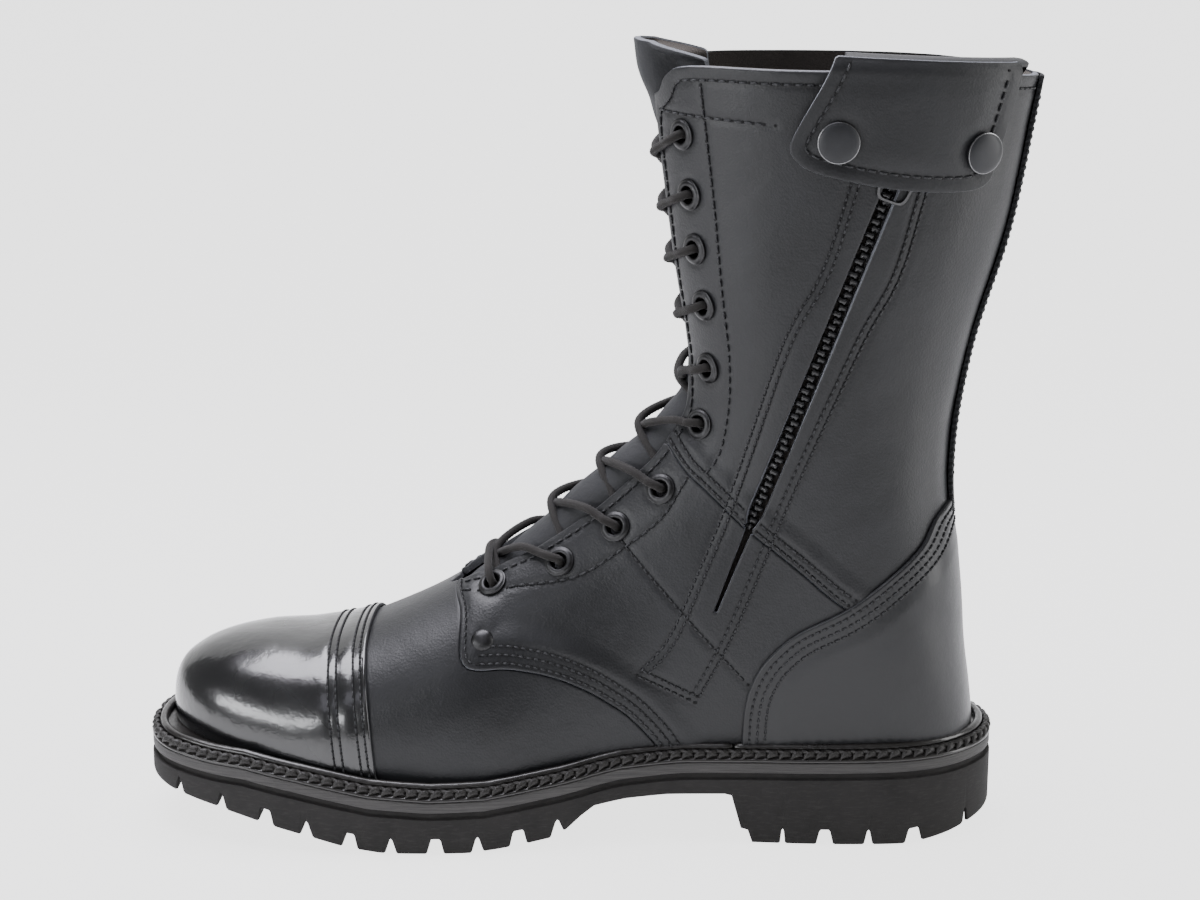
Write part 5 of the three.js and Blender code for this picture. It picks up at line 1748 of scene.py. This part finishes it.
def slider_frame():
    """The slider's frame: across the zip, down the line it runs on, and outwards."""
    origin, low = (on_section(station_at(v), np.array(a)) for v, a in map(on_zip, SLIDER_RUN))
    down = unit(low - origin)
    _, normal = skin_and_normal(*(np.array(c) for c in on_zip(SLIDER_FACES)))
    normal = unit(normal - down * normal.dot(down))
    return origin, np.stack([np.cross(down, normal), down, normal])


def rounded_plate(half_widths, y0, y1, z0, z1, soft):
    """A plate drawn by its half width at even steps along Y, with softened edges."""
    share = np.linspace(0, 1, 25)
    widths = np.interp(share, np.linspace(0, 1, len(half_widths)), half_widths)
    ys = y0 + (y1 - y0) * share
    loop = np.vstack([np.column_stack([widths, ys]), np.column_stack([-widths, ys])[::-1]])
    middle = loop.mean(0)
    rings = []
    lower = [(soft * 2.5, z0), (soft, z0), (0.3 * soft, z0 + 0.3 * soft), (0, z0 + soft)]
    upper = [(0, z1 - soft), (0.3 * soft, z1 - 0.3 * soft), (soft, z1), (soft * 2.5, z1)]
    for shrink, z in lower + upper:
        size = 1 - shrink / np.abs(loop - middle).max(0)
        rings.append(np.column_stack([middle + (loop - middle) * size, np.full(len(loop), z)]))
    return np.vstack(rings), lathe_faces(len(rings), len(loop), False)


def rod(points, radius):
    path = catmull_path(points, 0.35)[0]
    return tube(path, radius, ROD_SIDES).reshape(-1, 3), tube_faces(1, len(path), ROD_SIDES)


ROD_SIDES = 12
PULL_RAISE = 4.6
BRIDGE = [(0, -5.4, 3.9), (0, -5.0, 5.2), (0, -3.4, 6.0), (0, -1.6, 5.9), (0, -0.5, 5.1), (0, -0.2, 3.9)]
PULL_EYE = [(-1.5, 2.0), (-1.5, -1.5), (-0.9, -3.3), (0, -3.75), (0.9, -3.3), (1.5, -1.5), (1.5, 2.0)]


def rounded_box(half_x, half_y, middle_y, count=64):
    """A loop of points round a box with rounded corners."""
    turn = np.linspace(0, 2 * math.pi, count, endpoint=False)
    x = np.sign(np.cos(turn)) * np.abs(np.cos(turn)) ** 0.4 * half_x
    y = np.sign(np.sin(turn)) * np.abs(np.sin(turn)) ** 0.4 * half_y
    return np.column_stack([x, middle_y + y])


def pull_loop():
    """The pull: a flat loop as wide as a finger, with a plate at its upper end."""
    outer, window = rounded_box(6.1, 14.0, 14.2), rounded_box(4.9, 10.4, 16.6)
    low, high, soft = 4.15, 5.15, 0.25
    rings = []
    for flat, grow, z in (
        (outer, -soft, low), (outer, 0, low + soft), (outer, 0, high - soft), (outer, -soft, high),
        (window, soft, high), (window, 0, high - soft), (window, 0, low + soft), (window, soft, low),
    ):
        ring = flat + unit(flat - flat.mean(0)) * grow
        rings.append(np.column_stack([ring, np.full(len(ring), z)]))
    return np.vstack(rings), lathe_faces(len(rings), len(outer), True)


def build_slider():
    at = slider_frame()
    plate = rounded_plate([1.4, 2.4, 3.0, 3.1, 2.9, 2.5, 2.0, 1.5], -6.4, 6.2, 3.35, 4.25, 0.3)
    core = rounded_plate([1.3, 1.8, 1.8, 1.8, 1.3], -5.8, 5.8, -0.6, 3.5, 0.3)
    eye = rod([(x, y, PULL_RAISE) for x, y in PULL_EYE], 0.42)
    for name, parts, body, stands_for in (
        ("zip_slider_body", [plate, core, rod(BRIDGE, 0.55)], "slider", "zip_slider"),
        ("zip_pull_tab", [pull_loop(), eye], "pull", "zip_pull"),
    ):
        points, faces = joined(parts)
        make_piece(name, into(at, points), faces, [ZIP_METAL], body, [stands_for], sharp=40)


# ---------------------------------------------------------------- the flap and its snaps
def flap_patch():
    v = np.linspace(8.5, 10.82, int(60 / GRID_STEP * 1.25))
    angle = -np.linspace(0.5, 3.0, int(125 / GRID_STEP * 1.15))
    return Patch(*np.meshgrid(v, angle, indexing="ij"), False)


def build_flap():
    """The flap's leather and stitches, lowered in a band under the fold."""
    patch = flap_patch()
    at = patch.place_at(6.8)
    x, z = at[..., 0], at[..., 2]
    inside = line_distance(x, z, smooth_line(FLAP_OUTLINE))[0]
    fold_z = FOLD_Z - FOLD_SLOPE * (x + 10)
    fold = np.clip((z - fold_z + 5.0) / 5.0, 0, 1.1)
    shift = -2.5 * fold ** 2
    caps = [standing_at(*at) for at in SNAPS.values()]
    from_cap = np.min([np.linalg.norm(patch.point - c[0], axis=-1) for c in caps], 0)
    press = 0.55 * np.exp(-((np.maximum(from_cap - 6.5, 0)) / 3.5) ** 2)
    swell = 0.45 * smoothstep(inside, 5.5, 12) * (1 - smoothstep(z, 270, 279))
    high = FLAP[1] + shift + swell - press + 0.6 * ripple(patch.point)
    rows = contour(patch, inside - 5.0, fold_z - 1.5 - z, high)
    groove = groove_depth(patch, [(p - n * 4.6, n) for p, n in rows])
    distance = np.minimum(inside, fold_z - z)
    points, faces, picks = panel(patch, distance, FLAP[0] + shift, high - groove, 0.55)
    materials = [FLAP_LEATHER, RAW_EDGE, SUEDE]
    leather = make_piece("top_flap_leather", points, faces, materials, None, ["top_flap"],
                         picks=picks)
    stitches = stitching("top_flap_stitching", rows, *WIDE, None)
    for piece in (leather, stitches):
        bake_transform(piece)
    build_flap_root()


FLAP_ROOT_PROFILE = (
    (-5.7, 262), (-5.8, 270), (-5.8, 279), (-5.2, 282.4), (-3.6, 284.6), (-1.2, 285.7), (1.8, 285.9),
    (4.0, 285.5), (5.2, 284.9), (5.0, 283.6), (3.6, 284.1), (1.8, 284.4), (-0.8, 284.2), (-2.6, 283.2),
    (-3.8, 281.4), (-4.3, 279), (-4.3, 270), (-4.2, 262),
)


def build_flap_root():
    """The flap's sewn end: up the inside of the collar and over its edge."""
    angles = -np.linspace(1.2, 2.62, 90)
    rings = []
    for angle in angles:
        tries = np.linspace(9, V_MAX, 60)
        heights = on_section(station_at(tries), np.full(60, angle))[:, 2]
        offsets, z = np.array(FLAP_ROOT_PROFILE).T
        x_here = on_section(station_at(10.7), np.array(angle))[0]
        z = z - FOLD_SLOPE * (x_here + 10) * smoothstep(z, 270, 284)
        rings.append(skin(np.interp(z, heights, tries), np.full(len(z), angle), offsets))
    rings = np.array(rings)
    x = rings[:, 6, 0]
    rings = rings[(x > -8.2) & (x < 54.0)]
    faces = tube_faces(1, len(rings), rings.shape[1])
    make_piece("flap_root_leather", rings.reshape(-1, 3), faces, [FLAP_LEATHER], stands_for=["flap_base"],
               sharp=60)


def build_snaps():
    for name, at in SNAPS.items():
        frame_at = standing_at(*at)
        turned_piece(f"snap_cap_{name}_dome", frame_at, CAP_PROFILE, 64, [ENAMEL, RIM], f"snap_cap_{name}",
                     "flap", bright=CAP_BRIGHT_ROWS)
        turned_piece(f"snap_socket_{name}_ring", frame_at, SOCKET_PROFILE, 40, [FITTING],
                     f"snap_socket_{name}", "flap", loop=True)
        turned_piece(f"snap_stud_{name}_post", frame_at, STUD_PROFILE, 40, [FITTING], f"snap_stud_{name}")


# ---------------------------------------------------------------- hidden parts of the CAD
def finish_hidden_parts():
    """The parts inside the boot keep their CAD shapes and get real materials."""
    looks = {
        "insole_board": flat_grain_look("insole_board", 0.22, (1.2, 1.0, 0.75), 900.0, 0.0003),
        "cork_filler": flat_grain_look("cork_filler", 0.2, (1.35, 0.95, 0.6), 420.0, 0.0008),
        "shank": metal_look("shank_steel", 0.5, 0.35),
        "toe_puff": flat_grain_look("toe_stiffener", 0.3, (1.1, 1.0, 0.85), 1500.0, 0.0002),
        "counter_stiffener": flat_grain_look("heel_stiffener", 0.3, (1.1, 1.0, 0.85), 1500.0, 0.0002),
    }
    for name, material in looks.items():
        part = bpy.data.objects[name]
        part.data.materials.clear()
        part.data.materials.append(material)


build_tongue()
build_lace()
build_eyelets()
build_rivets()
build_back_strap()
build_tapes()
build_teeth()
build_slider()
build_flap()
build_snaps()
finish_hidden_parts()


# ---------------------------------------------------------------- stage, light and camera
def area_light(name, at, aim, size, power, colour=(1, 1, 1)):
    data = bpy.data.lights.new(name, "AREA")
    data.shape = "RECTANGLE"
    data.size, data.size_y = size
    data.energy = power
    data.color = colour
    light = bpy.data.objects.new(name, data)
    bpy.context.scene.collection.objects.link(light)
    light.location = at
    light.rotation_euler = (Vector(aim) - Vector(at)).to_track_quat("-Z", "Y").to_euler()


FLOOR_DROP = 0.0004
FLOOR_REACH = 3.0
WALL_AT = 1.6
WALL_HIGH = 3.0
WALL_BEND = 0.8
GLOW = 3.2
GLOW_SEEN = 0.75
GLOW_MIRRORED = 0.25
WORLD_LIGHT = 0.2
WORLD_SEEN = 1.9


def paper_look():
    """Pale paper that the camera sees brighter than it lights the boot."""
    look = Look("floor_paper")
    mottle = look.noise(3.0, 2.0)
    colour = look.blend(look.between(mottle, 0.0, 1.0), (0.9, 0.9, 0.9), (0.93, 0.93, 0.93))
    paper = look.add("ShaderNodeBsdfPrincipled", {"Base Color": colour, "Roughness": 0.9})
    glow = look.add("ShaderNodeEmission", {"Color": (1.0, 1.0, 1.0), "Strength": GLOW})
    mirrored = look.maths("MULTIPLY", look.add("ShaderNodeLightPath", output=3), GLOW_MIRRORED)
    seen = look.maths("MULTIPLY_ADD", look.add("ShaderNodeLightPath"), GLOW_SEEN, mirrored)
    look.add_output(look.add("ShaderNodeMixShader", {0: seen, 1: paper, 2: glow}))
    return look.material


def build_stage():
    """A floor that bends up into a wall behind the boot."""
    bend = [(-FLOOR_REACH, 0.0)]
    for turn in np.linspace(0, math.pi / 2, 13):
        bend.append((WALL_AT - WALL_BEND * (1 - math.sin(turn)), WALL_BEND * (1 - math.cos(turn))))
    bend.append((WALL_AT, WALL_HIGH))
    points = [(x, y, z - FLOOR_DROP) for y, z in bend for x in (-FLOOR_REACH, FLOOR_REACH)]
    faces = [(2 * k, 2 * k + 1, 2 * k + 3, 2 * k + 2) for k in range(len(bend) - 1)]
    mesh = bpy.data.meshes.new("floor")
    mesh.from_pydata(points, [], faces)
    mesh.shade_smooth()
    mesh.materials.append(paper_look())
    floor = bpy.data.objects.new("floor", mesh)
    bpy.context.scene.collection.objects.link(floor)


def build_light():
    world = bpy.data.worlds.new("studio")
    world.use_nodes = True
    nodes, links = world.node_tree.nodes, world.node_tree.links
    background = nodes["Background"]
    background.inputs["Color"].default_value = (1, 1, 1, 1)
    strength = nodes.new("ShaderNodeMath")
    strength.operation = "MULTIPLY_ADD"
    strength.inputs[1].default_value = WORLD_SEEN
    strength.inputs[2].default_value = WORLD_LIGHT
    links.new(nodes.new("ShaderNodeLightPath").outputs["Is Camera Ray"], strength.inputs[0])
    links.new(strength.outputs[0], background.inputs["Strength"])
    bpy.context.scene.world = world
    area_light("key_left", (-0.9, -0.62, 0.3), (-0.2, 0, 0.08), (0.8, 0.18), 5.0, (0.96, 0.97, 1.0))
    area_light("front_high", (-0.35, -1.1, 1.1), (-0.08, 0, 0.12), (0.9, 0.5), 1.5, (0.88, 0.87, 1.0))
    area_light("top", (-0.3, 0.15, 1.05), (-0.12, 0, 0.1), (1.0, 0.7), 22.0, (0.93, 0.92, 1.0))
    area_light("right_rim", (0.85, -0.1, 0.4), (0.02, 0, 0.14), (0.35, 0.8), 5.0)


CAMERA_LENS = 70.28
CAMERA_AT = (-0.0476, -0.8336, 0.3455)
CAMERA_TILT = math.radians(76)
CAMERA_TURN = math.radians(3)


def build_camera():
    data = bpy.data.cameras.new("camera")
    data.lens = CAMERA_LENS
    data.sensor_width = 36.0
    camera = bpy.data.objects.new("camera", data)
    camera.location = CAMERA_AT
    camera.rotation_euler = (CAMERA_TILT, 0, CAMERA_TURN)
    bpy.context.scene.collection.objects.link(camera)
    bpy.context.scene.camera = camera


build_stage()
build_light()
build_camera()
bpy.context.view_layer.update()
